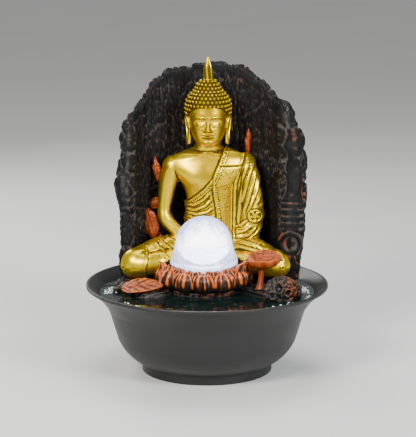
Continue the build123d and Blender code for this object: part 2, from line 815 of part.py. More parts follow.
with BuildPart() as lotus_cup:
    with BuildSketch(Plane.XZ.offset(-lotus_y)):
        with BuildLine():
            belly = ThreePointArc(
                (feature_x + cup_outer - 5, deck_top),
                (feature_x + cup_outer, (deck_top + cup_top) / 2),
                (feature_x + cup_outer - 1, cup_top),
            )
            Polyline(belly @ 1, (feature_x, cup_top), (feature_x, deck_top), belly @ 0)
        make_face()
    revolve(axis=Axis((feature_x, lotus_y, 0), (0, 0, 1)))
    # petals lean out of the front and sides of the cup, in two rows
    for step in range(petal_count):
        turn = 180 + 180 * (step + 0.5) / petal_count
        outer_row = step % 2 == 0
        lean = 24 if outer_row else 14
        reach = cup_outer + (petal_reach - 5.2 if outer_row else petal_reach - 7.5)
        place = Location(
            (
                feature_x + reach * cos(radians(turn)),
                lotus_y + reach * sin(radians(turn)),
                deck_top + (petal_top - deck_top) / 2,
            ),
            (0, 0, turn),
        )
        with Locations(place * Location((0, 0, 0), (0, lean, 0))):
            Cylinder(petal_radius, 2.6, rotation=(0, 90, 0))
    split(bisect_by=Plane.XY.offset(deck_top), keep=Keep.TOP)
    with Locations((*axis_point, led_bottom)):
        Cylinder(
            led_outer + gap,
            cup_top - led_bottom,
            align=(Align.CENTER, Align.CENTER, Align.MIN),
            mode=Mode.SUBTRACT,
        )
    with Locations((*axis_point, cup_top)):
        Cylinder(
            cup_inner,
            4 * dish_lip_height,
            align=(Align.CENTER, Align.CENTER, Align.MIN),
            mode=Mode.SUBTRACT,
        )
    with Locations((*axis_point, deck_top)):
        Cylinder(
            hose_bore + gap,
            lotus_floor,
            align=(Align.CENTER, Align.CENTER, Align.MIN),
            mode=Mode.SUBTRACT,
        )
finish(lotus_cup.part, "lotus_cup")

lens_thickness = 1.6
board_thickness = 1.2
led_wall = 1.6
board_outer = led_outer - led_wall - 0.1
board_inner = led_inner + led_wall + 0.1


def led_ring(bottom, height, outer, inner, mode=Mode.ADD):
    """A flat ring about the jet, from bottom up."""
    with BuildSketch(Plane.XY.offset(bottom)) as ring:
        with Locations(axis_point):
            Circle(outer)
            Circle(inner, mode=Mode.SUBTRACT)
    extrude(ring.sketch, amount=height, mode=mode)


with BuildPart() as led_housing:
    led_ring(led_bottom, led_height, led_outer, led_inner)
    led_ring(
        led_bottom + led_wall,
        led_height - led_wall,
        led_outer - led_wall,
        led_inner + led_wall,
        Mode.SUBTRACT,
    )
finish(led_housing.part, "led_housing")

board_bottom = led_bottom + led_wall
with BuildPart() as led_board:
    led_ring(board_bottom, board_thickness, board_outer, board_inner)
finish(led_board.part, "led_board")

with BuildPart() as led_chips:
    with BuildSketch(Plane.XY.offset(board_bottom + board_thickness)):
        with Locations(axis_point):
            with PolarLocations((board_outer + board_inner) / 2, 6):
                Rectangle(3, 3)
    extrude(amount=1)
finish(led_chips.part, "led_chips")

with BuildPart() as led_lens:
    led_ring(led_bottom + led_height - lens_thickness, lens_thickness, board_outer, board_inner)
finish(led_lens.part, "led_lens")

with BuildPart() as ball_dish:
    with BuildSketch(Plane.XZ.offset(-lotus_y)):
        with BuildLine():
            outside = [
                (feature_x + seat_radius, dish_floor - dish_wall),
                (feature_x + dish_radius, dish_floor - dish_wall),
                (feature_x + dish_radius, dish_lip),
                (feature_x + dish_radius - dish_wall, dish_lip),
                (feature_x + dish_radius - dish_wall, dish_floor),
                (feature_x + seat_radius, dish_floor),
            ]
            Polyline(*outside)
            seat_bottom = ball_z - seat_shell
            throat = ThreePointArc(
                outside[-1],
                (feature_x + seat_radius * 0.55, ball_z - sqrt(seat_shell**2 - (seat_radius * 0.55) ** 2)),
                (feature_x, seat_bottom),
            )
            Line((feature_x, seat_bottom), (feature_x, seat_bottom - dish_wall))
            ThreePointArc(
                (feature_x, seat_bottom - dish_wall),
                (
                    feature_x + seat_radius * 0.55,
                    ball_z - dish_wall - sqrt(seat_shell**2 - (seat_radius * 0.55) ** 2),
                ),
                outside[0],
            )
        make_face()
    revolve(axis=Axis((feature_x, lotus_y, 0), (0, 0, 1)))
    with Locations((*axis_point, dish_bottom - 1)):
        Cylinder(
            hose_bore + running_gap,
            2 * dish_wall + 2,
            align=(Align.CENTER, Align.CENTER, Align.MIN),
            mode=Mode.SUBTRACT,
        )
finish(ball_dish.part, "ball_dish")

with BuildPart() as crystal_ball:
    with Locations((*axis_point, ball_z)):
        Sphere(ball_radius)
finish(crystal_ball.part, "crystal_ball")
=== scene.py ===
import bmesh
import bpy
import numpy as np
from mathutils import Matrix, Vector


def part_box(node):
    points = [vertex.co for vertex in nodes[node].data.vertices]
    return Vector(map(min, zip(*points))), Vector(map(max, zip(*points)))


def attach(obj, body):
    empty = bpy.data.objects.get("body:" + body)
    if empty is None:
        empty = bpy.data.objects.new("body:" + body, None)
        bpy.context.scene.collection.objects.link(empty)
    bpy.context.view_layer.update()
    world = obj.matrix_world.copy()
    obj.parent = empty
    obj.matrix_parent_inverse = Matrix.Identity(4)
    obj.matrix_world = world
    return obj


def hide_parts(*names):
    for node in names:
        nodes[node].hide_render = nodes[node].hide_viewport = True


# Sizes below are in millimetres unless a name says otherwise; meshes are scaled to metres once.
mm = 0.001

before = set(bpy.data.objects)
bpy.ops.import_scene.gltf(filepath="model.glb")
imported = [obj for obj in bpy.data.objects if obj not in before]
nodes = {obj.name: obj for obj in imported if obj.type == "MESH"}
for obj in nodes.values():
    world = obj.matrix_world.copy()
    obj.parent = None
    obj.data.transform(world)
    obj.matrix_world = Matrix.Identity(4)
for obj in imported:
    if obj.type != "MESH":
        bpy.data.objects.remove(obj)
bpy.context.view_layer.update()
print("stage 1: frame loaded,", len(nodes), "nodes")


def nodeBox(name):
    # lowest and highest corner of a frame node
    low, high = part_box(name)
    return np.array(low) / mm, np.array(high) / mm


ballLow, ballHigh = nodeBox("crystal_ball")
ballCentre = (ballLow + ballHigh) / 2
ballRadius = (ballHigh[0] - ballLow[0]) / 2
deckTop = nodeBox("rock_base")[1][2]


def smoothStep(value, low, high):
    # 0 below low, 1 above high, an S curve between
    t = np.clip((value - low) / (high - low), 0, 1)
    return t * t * (3 - 2 * t)


def bump(distance, width):
    # a bell: exp(-(distance / width) squared)
    return np.exp(-((distance / width) ** 2))


def curveThrough(keys, values, at):
    # cubic through the keys; each slope is the mean of its neighbours' slopes, or 0 at a turn
    keys, values = np.asarray(keys, float), np.asarray(values, float)
    steps = np.diff(values) / np.diff(keys)
    slopes = np.concatenate([[steps[0]], (steps[:-1] + steps[1:]) / 2, [steps[-1]]])
    turn = steps[:-1] * steps[1:] <= 0
    slopes[1:-1][turn] = 0
    at = np.clip(at, keys[0], keys[-1])
    i = np.clip(np.searchsorted(keys, at) - 1, 0, len(keys) - 2)
    h = keys[i + 1] - keys[i]
    t = (at - keys[i]) / h
    return (
        (1 + 2 * t) * (1 - t) ** 2 * values[i]
        + t * (1 - t) ** 2 * h * slopes[i]
        + t * t * (3 - 2 * t) * values[i + 1]
        + t * t * (t - 1) * h * slopes[i + 1]
    )


def tableAt(table, at):
    # the second column of a table where its first column reaches at
    keys = np.array(table, float)
    return curveThrough(keys[:, 0], keys[:, 1], at)


def turnAngles(count):
    # equal steps round a full turn
    return np.linspace(0, 2 * np.pi, count, endpoint=False)


def polarPoints(centre, r, a, z):
    # centre + (r cos a, r sin a) at height z
    x, y = centre[0] + r * np.cos(a), centre[1] + r * np.sin(a)
    return np.stack([x, y, np.broadcast_to(z, x.shape)], -1)


def cornerNumber(corner, seed):
    # a fixed scrambled number from -1 to 1 for each whole-number corner
    c = corner.astype(np.int64)
    mixed = c[..., 0] * 73856093 ^ c[..., 1] * 19349663 ^ c[..., 2] * 83492791 ^ (seed * 1640531)
    mixed = (mixed ^ (mixed >> 15)) * 2246822519 & 0xFFFFFFFF
    mixed = (mixed ^ (mixed >> 13)) * 3266489917 & 0xFFFFFFFF
    return ((mixed >> 8) & 0xFFFF) / 32767.5 - 1


def valueNoise(points, seed):
    # corner numbers blended smoothly inside each unit cell
    base = np.floor(points)
    part = points - base
    blend = part * part * (3 - 2 * part)
    total = np.zeros(points.shape[:-1])
    for corner in np.ndindex(2, 2, 2):
        step = np.array(corner)
        weight = np.prod(np.where(step, blend, 1 - blend), axis=-1)
        total += weight * cornerNumber(base + step, seed)
    return total


def layeredNoise(points, size, layers, seed, gain=0.5):
    # sum of value noises, each twice as fine and gain times as strong
    total, strength = 0, 1.0
    for layer in range(layers):
        total = total + strength * valueNoise(points / size * 2.0**layer + 13.7 * layer, seed + layer)
        strength *= gain
    return total


def ridgeNoise(points, size, layers, seed):
    # 1 - |noise|: sharp crests where the noise crosses 0
    total, strength = 0, 1.0
    for layer in range(layers):
        n = valueNoise(points / size * 2.0**layer + 7.3 * layer, seed + layer)
        total = total + strength * (1 - 2 * np.abs(n))
        strength *= 0.5
    return total


def cellNoise(points, size, seed):
    # distances to the nearest and second nearest of one scattered point per cell
    scaled = points / size
    base = np.floor(scaled)
    nearest = np.full(points.shape[:-1], 9.0)
    second = np.full(points.shape[:-1], 9.0)
    for cell in np.ndindex(3, 3, 3):
        corner = base + np.array(cell) - 1
        spot = np.stack([cornerNumber(corner, seed + k) for k in (1, 2, 3)], axis=-1)
        gap = np.linalg.norm(corner + 0.5 + 0.45 * spot - scaled, axis=-1)
        second = np.minimum(second, np.maximum(nearest, gap))
        nearest = np.minimum(nearest, gap)
    return nearest, second


def gridFaces(rows, columns, wrapRows=False, wrapColumns=False):
    # quads of a rows x columns grid of points
    r = np.arange(rows if wrapRows else rows - 1)
    c = np.arange(columns if wrapColumns else columns - 1)
    r, c = np.meshgrid(r, c, indexing="ij")
    r2, c2 = (r + 1) % rows, (c + 1) % columns
    quads = np.stack([r * columns + c, r2 * columns + c, r2 * columns + c2, r * columns + c2], -1)
    return quads.reshape(-1, 4)


def pointNormals(points, faces):
    # each point's normal: the sum of its faces' diagonal cross products
    a, b, c, d = (points[faces[:, k]] for k in range(4))
    n = np.cross(c - a, d - b)
    total = np.zeros_like(points)
    for k in range(4):
        np.add.at(total, faces[:, k], n)
    return total / np.maximum(np.linalg.norm(total, axis=1, keepdims=True), 1e-12)


def neighbourMean(values, faces):
    # mean of each point's value over the corners of the faces round it
    total = np.zeros_like(values)
    count = np.zeros(len(values))
    corner = sum(values[faces[:, k]] for k in range(4)) / 4
    for k in range(4):
        np.add.at(total, faces[:, k], corner)
        np.add.at(count, faces[:, k], 1)
    count = np.maximum(count, 1)
    return total / (count[:, None] if values.ndim > 1 else count)


def hollowness(points, faces, rounds=3, scale=0.12):
    # how far a point lies below (positive) or above (negative) its smoothed surroundings
    normals = pointNormals(points, faces)
    smooth = points
    for _ in range(rounds):
        smooth = neighbourMean(smooth, faces)
    depth = np.sum((smooth - points) * normals, axis=1)
    return np.clip(depth / scale, -1, 1)


def rawMesh(name, points, faces):
    # the one place where millimetres become metres
    mesh = bpy.data.meshes.new(name)
    mesh.from_pydata((points * mm).tolist(), [], np.asarray(faces).tolist())
    return mesh


def weldMesh(mesh, dropThin=False):
    # joins points that meet, drops faces with no area if asked, and turns every face outward
    work = bmesh.new()
    work.from_mesh(mesh)
    bmesh.ops.remove_doubles(work, verts=work.verts, dist=2e-6)
    if dropThin:
        bmesh.ops.dissolve_degenerate(work, edges=work.edges, dist=1e-7)
    bmesh.ops.recalc_face_normals(work, faces=work.faces)
    work.to_mesh(mesh)
    work.free()


def makePiece(name, points, faces, body, material, replaces=(), hollowAndShade=None, weld=True):
    # an object at the origin, on its body, in its slot; the hollow values drive the paint's wear and dark
    # wash, and on some pieces painted shade
    mesh = rawMesh(name, points, faces)
    if hollowAndShade is not None:
        mesh.attributes.new("hollowAndShade", "FLOAT", "POINT").data.foreach_set(
            "value", hollowAndShade.astype(np.float32)
        )
    if weld:
        weldMesh(mesh, dropThin=True)
    mesh.polygons.foreach_set("use_smooth", np.ones(len(mesh.polygons), bool))
    piece = bpy.data.objects.new(name, mesh)
    bpy.context.scene.collection.objects.link(piece)
    mesh.materials.append(material)
    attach(piece, body)
    if replaces:
        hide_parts(*replaces)
    return piece


def joinShapes(shapes):
    # several (points, faces) as one
    points, faces, start = [], [], 0
    for p, f in shapes:
        points.append(p)
        faces.append(f + start)
        start += len(p)
    return np.concatenate(points), np.concatenate(faces)


def fuseShapes(shapes, voxel, rounds=4):
    # closed shells become one skin: a voxel remesh, then a few rounds of smoothing
    points, faces = joinShapes(shapes)
    mesh = rawMesh("fuse", points, faces)
    weldMesh(mesh)
    holder = bpy.data.objects.new("fuse", mesh)
    bpy.context.scene.collection.objects.link(holder)
    remesh = holder.modifiers.new("skin", "REMESH")
    remesh.mode = "VOXEL"
    remesh.voxel_size = voxel * mm
    relax = holder.modifiers.new("relax", "SMOOTH")
    relax.factor = 0.5
    relax.iterations = rounds
    ready = holder.evaluated_get(bpy.context.evaluated_depsgraph_get()).to_mesh()
    result = np.empty(len(ready.vertices) * 3)
    ready.vertices.foreach_get("co", result)
    quads = np.empty(len(ready.loops), np.int64)
    ready.loops.foreach_get("vertex_index", quads)
    bpy.data.objects.remove(holder)
    bpy.data.meshes.remove(mesh)
    return result.reshape(-1, 3) / mm, quads.reshape(-1, 4)


def sweptShell(centres, widths, heights, up=(0, 0, 1), around=40, stations=40, cap=8):
    # centre(s) + width cos a * side + height sin a * rise, with both ends rounded off
    centres = np.asarray(centres, float)
    keys = np.linspace(0, 1, len(centres))
    s = np.linspace(0, 1, stations)
    path = np.stack([curveThrough(keys, centres[:, k], s) for k in range(3)], -1)
    w = curveThrough(keys, np.broadcast_to(widths, len(centres)), s)
    h = curveThrough(keys, np.broadcast_to(heights, len(centres)), s)
    tangent = np.gradient(path, axis=0)
    tangent /= np.linalg.norm(tangent, axis=1, keepdims=True)
    e = np.sin(np.linspace(0, np.pi / 2, cap + 1))[1:]
    shrink = np.sqrt(np.maximum(1 - e * e, 0))
    head = path[0] - tangent[0] * (e * min(w[0], h[0]))[::-1, None]
    tail = path[-1] + tangent[-1] * (e * min(w[-1], h[-1]))[:, None]
    path = np.concatenate([head, path, tail])
    w = np.concatenate([w[0] * shrink[::-1], w, w[-1] * shrink])
    h = np.concatenate([h[0] * shrink[::-1], h, h[-1] * shrink])
    tangent = np.concatenate([np.repeat(tangent[:1], cap, 0), tangent, np.repeat(tangent[-1:], cap, 0)])
    side = np.cross(np.broadcast_to(up, tangent.shape), tangent)
    side /= np.linalg.norm(side, axis=1, keepdims=True)
    rise = np.cross(tangent, side)
    a = turnAngles(around)
    points = (
        path[:, None]
        + (w[:, None] * np.cos(a))[..., None] * side[:, None]
        + (h[:, None] * np.sin(a))[..., None] * rise[:, None]
    )
    return points.reshape(-1, 3), gridFaces(len(path), around, wrapColumns=True)


def ballShell(centre, radii, around=32, rings=20):
    # an ellipsoid: centre + radii * (cos a sin b, sin a sin b, cos b)
    a = turnAngles(around)
    b = np.linspace(0, np.pi, rings)
    b, a = np.meshgrid(b, a, indexing="ij")
    unit = np.stack([np.cos(a) * np.sin(b), np.sin(a) * np.sin(b), np.cos(b)], -1)
    return (np.array(centre) + unit * np.array(radii)).reshape(-1, 3), gridFaces(
        rings, around, wrapColumns=True
    )


def groupNode(name, inputs, outputs):
    # an empty shader node group with named float or colour sockets
    group = bpy.data.node_groups.new(name, "ShaderNodeTree")
    for label, kind, value in inputs:
        item = group.interface.new_socket(name=label, in_out="INPUT", socket_type=kind)
        item.default_value = value
    for label, kind in outputs:
        group.interface.new_socket(name=label, in_out="OUTPUT", socket_type=kind)
    return group, group.nodes.new("NodeGroupInput"), group.nodes.new("NodeGroupOutput")


def addNode(tree, kind, settings=None, **links):
    # a node with its settings; each link is a socket name (underscores for spaces) and its source
    node = tree.nodes.new(kind)
    for key, value in (settings or {}).items():
        if key in node.inputs.keys():
            node.inputs[key].default_value = value
        else:
            setattr(node, key, value)
    for key, source in links.items():
        tree.links.new(source, node.inputs[key.replace("_", " ")])
    return node


def mixColours(tree, amount, first, second):
    node = tree.nodes.new("ShaderNodeMix")
    node.data_type = "RGBA"
    for socket, value in ((node.inputs[0], amount), (node.inputs[6], first), (node.inputs[7], second)):
        if isinstance(value, (tuple, float, int)):
            socket.default_value = (*value, 1) if isinstance(value, tuple) else value
        else:
            tree.links.new(value, socket)
    return node.outputs[2]


def reRange(tree, value, low, high, newLow=0.0, newHigh=1.0):
    settings = {"From Min": low, "From Max": high, "To Min": newLow, "To Max": newHigh}
    return addNode(tree, "ShaderNodeMapRange", settings, Value=value).outputs[0]


def mathNode(tree, kind, first, second):
    node = tree.nodes.new("ShaderNodeMath")
    node.operation = kind
    for socket, value in zip(node.inputs, (first, second)):
        if isinstance(value, (float, int)):
            socket.default_value = value
        else:
            tree.links.new(value, socket)
    return node.outputs[0]


def buildCarvedGroup():
    # turns a piece's own hollow attribute into a dark mask, the dark wash together with the painted shade
    # some pieces set in that attribute, and a brushed edge mask
    tree, inside, out = groupNode(
        "carvedWear",
        [("Spot Size", "NodeSocketFloat", 300.0), ("Wash", "NodeSocketFloat", 1.0),
         ("Brush", "NodeSocketFloat", 1.0)],
        [("Wash And Shade Mask", "NodeSocketFloat"), ("Brush Mask", "NodeSocketFloat")],
    )
    hollowAndShade = addNode(tree, "ShaderNodeAttribute", {"attribute_name": "hollowAndShade"}).outputs["Fac"]
    place = addNode(tree, "ShaderNodeTexCoord").outputs["Object"]
    spots = addNode(
        tree, "ShaderNodeTexNoise", {"Detail": 4.0, "Roughness": 0.65},
        Vector=place, Scale=inside.outputs["Spot Size"],
    ).outputs["Fac"]
    broken = mathNode(tree, "ADD", hollowAndShade, reRange(tree, spots, 0.3, 0.7, -0.22, 0.22))
    washAndShade = mathNode(tree, "MULTIPLY", reRange(tree, broken, 0.1, 0.62), inside.outputs["Wash"])
    brush = mathNode(tree, "MULTIPLY", reRange(tree, broken, -0.12, -0.7), inside.outputs["Brush"])
    tree.links.new(washAndShade, out.inputs["Wash And Shade Mask"])
    tree.links.new(brush, out.inputs["Brush Mask"])
    return tree


def buildGrainGroup():
    # fine grain: a height for Bump and a slow patchy value for roughness or tint
    tree, inside, out = groupNode(
        "fineGrain",
        [("Grain Size", "NodeSocketFloat", 1500.0), ("Patch Size", "NodeSocketFloat", 40.0)],
        [("Height", "NodeSocketFloat"), ("Patches", "NodeSocketFloat")],
    )
    place = addNode(tree, "ShaderNodeTexCoord").outputs["Object"]
    grain = addNode(
        tree, "ShaderNodeTexNoise", {"Detail": 3.0, "Roughness": 0.6},
        Vector=place, Scale=inside.outputs["Grain Size"],
    ).outputs["Fac"]
    patches = addNode(
        tree, "ShaderNodeTexNoise", {"Detail": 5.0, "Roughness": 0.6},
        Vector=place, Scale=inside.outputs["Patch Size"],
    ).outputs["Fac"]
    tree.links.new(grain, out.inputs["Height"])
    tree.links.new(patches, out.inputs["Patches"])
    return tree


carvedGroup = buildCarvedGroup()
grainGroup = buildGrainGroup()


def startMaterial(name, sockets, grainSize=1500.0, patchSize=40.0, bumpDepth=0.1, bumpDistance=0.0002):
    # a Principled material with fine grain on its normal; returns what the rest needs
    material = bpy.data.materials.new(name)
    material.use_nodes = True
    tree = material.node_tree
    shader = tree.nodes["Principled BSDF"]
    for key, value in sockets.items():
        shader.inputs[key].default_value = value
    grain = addNode(tree, "ShaderNodeGroup", {"node_tree": grainGroup})
    grain.inputs["Grain Size"].default_value = grainSize
    grain.inputs["Patch Size"].default_value = patchSize
    bumpNode = addNode(
        tree, "ShaderNodeBump", {"Strength": bumpDepth, "Distance": bumpDistance},
        Height=grain.outputs["Height"],
    )
    tree.links.new(bumpNode.outputs[0], shader.inputs["Normal"])
    return material, tree, shader, grain


def carvedMaterial(name, look):
    # paint over a carved surface: body colour, patchy tint, dark wash together with any painted shade,
    # brushed edges
    material, tree, shader, grain = startMaterial(
        name,
        {"Metallic": look["metallic"], "Specular IOR Level": look.get("shine", 0.5),
         "Specular Tint": (*look.get("edgeTint", (1, 1, 1)), 1)},
        look["grain"], look["patch"], look["bump"], look.get("bumpDistance", 0.0003),
    )
    wear = addNode(tree, "ShaderNodeGroup", {"node_tree": carvedGroup})
    wear.inputs["Spot Size"].default_value = look["spot"]
    wear.inputs["Wash"].default_value = look["washAndShade"]
    wear.inputs["Brush"].default_value = look["brush"]
    patches = reRange(tree, grain.outputs["Patches"], 0.35, 0.65)
    colour = mixColours(tree, patches, look["colour"], look["tint"])
    colour = mixColours(tree, wear.outputs["Brush Mask"], colour, look["brushColour"])
    if "accent" in look:
        place = addNode(tree, "ShaderNodeTexCoord").outputs["Object"]
        where = addNode(
            tree, "ShaderNodeTexNoise", {"Scale": look["accentSize"], "Detail": 2.0}, Vector=place
        )
        where = reRange(tree, where.outputs["Fac"], *look["accentRange"])
        amount = mathNode(tree, "MULTIPLY", where, wear.outputs["Brush Mask"])
        colour = mixColours(tree, amount, colour, look["accent"])
    if "paintedGlint" in look:
        # painted glints: thin pale upright streaks standing in for light caught on tiny facets, in some
        # patches only and never in the washed hollows
        place = addNode(tree, "ShaderNodeTexCoord").outputs["Object"]
        upright = addNode(tree, "ShaderNodeMapping", {"Scale": (1.0, 1.0, 0.3)}, Vector=place).outputs[0]
        glintEdges = addNode(
            tree, "ShaderNodeTexVoronoi",
            {"feature": "DISTANCE_TO_EDGE", "Scale": look["paintedGlintSize"], "Randomness": 1.0}, Vector=upright,
        ).outputs["Distance"]
        lines = reRange(tree, glintEdges, 0.055, 0.012)
        where = addNode(
            tree, "ShaderNodeTexNoise", {"Scale": 34.0, "Detail": 5.0, "Roughness": 0.7}, Vector=place
        )
        where = reRange(tree, where.outputs["Fac"], *look["paintedGlintRange"])
        colour = mixColours(tree, mathNode(tree, "MULTIPLY", lines, where), colour, look["paintedGlint"])
    # dark wash, which also lays down the painted shade that some pieces set in their hollow values
    colour = mixColours(tree, wear.outputs["Wash And Shade Mask"], colour, look["washAndShadeColour"])
    tree.links.new(colour, shader.inputs["Base Color"])
    rough = reRange(tree, grain.outputs["Patches"], 0.3, 0.7, *look["rough"])
    rough = mathNode(tree, "ADD", rough, mathNode(tree, "MULTIPLY", wear.outputs["Wash And Shade Mask"], 0.2))
    tree.links.new(rough, shader.inputs["Roughness"])
    if look["metallic"] > 0:
        less = mathNode(tree, "MULTIPLY", wear.outputs["Wash And Shade Mask"], -0.7 * look["metallic"])
        tree.links.new(mathNode(tree, "ADD", less, look["metallic"]), shader.inputs["Metallic"])
    return material


goldLook = {
    "colour": (0.82, 0.545, 0.0), "tint": (0.70, 0.445, 0.0),
    "brushColour": (1.0, 0.80, 0.01), "washAndShadeColour": (0.022, 0.012, 0.002), "edgeTint": (1.0, 0.78, 0.12),
    "metallic": 0.94, "rough": (0.29, 0.38), "grain": 2600.0, "patch": 90.0, "bump": 0.12,
    "spot": 900.0, "washAndShade": 0.95, "brush": 0.55,
}  # fmt: skip
rockLook = {
    "colour": (0.0042, 0.0038, 0.0042), "tint": (0.0105, 0.0090, 0.0085),
    "brushColour": (0.062, 0.050, 0.040), "washAndShadeColour": (0.0012, 0.0012, 0.0012),
    "accent": (0.20, 0.052, 0.014), "accentSize": 44.0, "accentRange": (0.50, 0.63),
    "shine": 0.22, "paintedGlint": (0.155, 0.142, 0.130), "paintedGlintSize": 330.0, "paintedGlintRange": (0.53, 0.66),
    "metallic": 0.0, "rough": (0.42, 0.66), "grain": 900.0, "patch": 60.0, "bump": 0.5,
    "bumpDistance": 0.0006, "spot": 420.0, "washAndShade": 0.9, "brush": 0.85,
}  # fmt: skip
leafLook = {
    "colour": (0.40, 0.070, 0.008), "tint": (0.24, 0.038, 0.006),
    "brushColour": (0.62, 0.14, 0.022), "washAndShadeColour": (0.018, 0.006, 0.003),
    "metallic": 0.25, "rough": (0.28, 0.42), "grain": 1500.0, "patch": 130.0, "bump": 0.55,
    "spot": 700.0, "washAndShade": 0.9, "brush": 0.6,
}  # fmt: skip
petalLook = {
    "colour": (0.035, 0.014, 0.008), "tint": (0.085, 0.026, 0.011),
    "brushColour": (0.76, 0.155, 0.018), "washAndShadeColour": (0.004, 0.003, 0.003),
    "metallic": 0.25, "rough": (0.33, 0.48), "grain": 1500.0, "patch": 110.0, "bump": 0.3,
    "spot": 650.0, "washAndShade": 0.9, "brush": 1.0,
}  # fmt: skip

goldPaint = carvedMaterial("antiqueGoldPaint", goldLook)
rockPaint = carvedMaterial("dryBrushedRock", rockLook)
leafPaint = carvedMaterial("rustCopperLeaf", leafLook)
petalPaint = carvedMaterial("darkCopperPetal", petalLook)


def plainMaterial(name, colour, tint, rough, grain=1500.0, patch=60.0, bumpDepth=0.1, sockets=None):
    # moulded or drawn stock: two close tints in patches, patchy gloss and fine grain
    material, tree, shader, grainNode = startMaterial(name, sockets or {}, grain, patch, bumpDepth)
    patches = reRange(tree, grainNode.outputs["Patches"], 0.35, 0.65)
    tree.links.new(mixColours(tree, patches, colour, tint), shader.inputs["Base Color"])
    tree.links.new(reRange(tree, grainNode.outputs["Patches"], 0.3, 0.7, *rough), shader.inputs["Roughness"])
    return material


bowlPlastic = plainMaterial(
    "charcoalBowlPlastic", (0.0060, 0.0058, 0.0060), (0.0084, 0.0081, 0.0083), (0.42, 0.54),
    2200.0, 24.0, 0.16,
)  # fmt: skip
pumpPlastic = plainMaterial(
    "blackPumpPlastic", (0.018, 0.018, 0.019), (0.026, 0.026, 0.027), (0.36, 0.5), 3000.0
)
dialPlastic = plainMaterial("greyDialPlastic", (0.20, 0.21, 0.23), (0.24, 0.25, 0.27), (0.3, 0.4))
whitePlastic = plainMaterial("whiteMoulding", (0.72, 0.72, 0.69), (0.78, 0.78, 0.75), (0.28, 0.38))
hosePlastic = plainMaterial(
    "milkyHose", (0.62, 0.66, 0.66), (0.68, 0.71, 0.71), (0.22, 0.32), sockets={"Transmission Weight": 0.45}
)
boardGreen = plainMaterial("solderMask", (0.02, 0.13, 0.05), (0.025, 0.16, 0.06), (0.25, 0.35))
magnetGrey = plainMaterial(
    "sinteredMagnet", (0.05, 0.05, 0.055), (0.07, 0.07, 0.075), (0.4, 0.55), 4000.0, bumpDepth=0.3
)
seatRubber = plainMaterial("blackRubber", (0.03, 0.03, 0.03), (0.04, 0.04, 0.04), (0.6, 0.75))
cupRubber = plainMaterial(
    "milkyRubber", (0.5, 0.52, 0.52), (0.56, 0.58, 0.58), (0.35, 0.45), sockets={"Transmission Weight": 0.3}
)
shaftSteel = plainMaterial(
    "groundSteel", (0.62, 0.62, 0.64), (0.68, 0.68, 0.7), (0.2, 0.3), 3500.0, sockets={"Metallic": 1.0}
)
clearAcrylic = plainMaterial(
    "clearDishAcrylic", (0.82, 0.90, 1.0), (0.86, 0.93, 1.0), (0.03, 0.08), 900.0, 30.0, 0.03,
    {"Transmission Weight": 0.94, "IOR": 1.49},
)  # fmt: skip
lensFrost = plainMaterial(
    "frostedLens", (0.88, 0.9, 1.0), (0.92, 0.94, 1.0), (0.35, 0.5), sockets={"Transmission Weight": 0.6}
)


def buildWaterMaterial():
    # dark green water with a rippled gloss
    material, tree, shader, grain = startMaterial(
        "darkPoolWater",
        {"IOR": 1.33, "Transmission Weight": 0.7, "Roughness": 0.03},
        160.0, 30.0, 0.35, 0.0012,
    )
    patches = reRange(tree, grain.outputs["Patches"], 0.35, 0.7)
    tree.links.new(
        mixColours(tree, patches, (0.016, 0.046, 0.038), (0.008, 0.020, 0.024)), shader.inputs["Base Color"]
    )
    return material


def buildBallMaterial():
    # frosted crystal with a painted glow in place of the LED light shining up through it: an emitted bright
    # core, paler cloudy streaks toward the top and rim, and a base colour that follows the same glow
    material, tree, shader, grain = startMaterial(
        "litCrystal", {"Roughness": 0.22, "IOR": 1.5, "Emission Strength": 4.6}, 500.0, 45.0, 0.05
    )
    place = addNode(tree, "ShaderNodeTexCoord").outputs["Object"]
    centred = addNode(
        tree, "ShaderNodeMapping",
        {"Location": tuple(-ballCentre * mm * np.array([1, 1, 0.35])), "Scale": (1, 1, 0.35)},
        Vector=place,
    ).outputs[0]
    streaks = addNode(
        tree, "ShaderNodeTexNoise", {"Scale": 170.0, "Detail": 5.0, "Roughness": 0.6, "Distortion": 0.6},
        Vector=centred
    )
    height = addNode(tree, "ShaderNodeSeparateXYZ", None, Vector=place).outputs["Z"]
    low, high = (ballCentre[2] - ballRadius) * mm, (ballCentre[2] + ballRadius) * mm
    # painted glow, set in the ball's own coordinates: brightest at a spot a little under the middle on the
    # front, toward the axis, and brighter toward the bottom
    flat = addNode(tree, "ShaderNodeVectorMath", {"operation": "DISTANCE"}, Vector=place)
    flat.inputs[1].default_value = tuple((ballCentre + np.array([1.5, -ballRadius, -3.0])) * mm)
    glow = reRange(tree, flat.outputs["Value"], 0.036, 0.013, 0.22, 1.2)
    glow = mathNode(tree, "ADD", glow, reRange(tree, height, high, low, -0.12, 0.10))
    glow = mathNode(tree, "ADD", glow, reRange(tree, streaks.outputs["Fac"], 0.36, 0.64, -0.20, 0.22))
    glow = reRange(tree, glow, 0.25, 0.95)
    tree.links.new(
        mixColours(tree, glow, (0.16, 0.185, 0.36), (1.0, 1.0, 1.0)), shader.inputs["Emission Color"]
    )
    tree.links.new(mixColours(tree, glow, (0.45, 0.48, 0.80), (0.92, 0.94, 1.0)), shader.inputs["Base Color"])
    return material


def buildEmitterMaterial():
    material, tree, shader, grain = startMaterial(
        "lightChip", {"Emission Strength": 4.0, "Roughness": 0.4}, 3000.0
    )
    tint = mixColours(tree, grain.outputs["Patches"], (0.95, 0.95, 0.8), (0.85, 0.9, 1.0))
    tree.links.new(tint, shader.inputs["Base Color"])
    tree.links.new(tint, shader.inputs["Emission Color"])
    return material


def buildFoamAndGlintMaterial():
    # pale beads: the colour of foam, and of painted glints where the beads stand in for light on the water
    material, tree, shader, grain = startMaterial(
        "foamAndGlintWater", {"Roughness": 0.08, "IOR": 1.33, "Transmission Weight": 0.3}, 700.0, 60.0, 0.3
    )
    tree.links.new(
        mixColours(tree, grain.outputs["Patches"], (0.75, 0.82, 0.86), (0.95, 0.97, 1.0)),
        shader.inputs["Base Color"],
    )
    return material


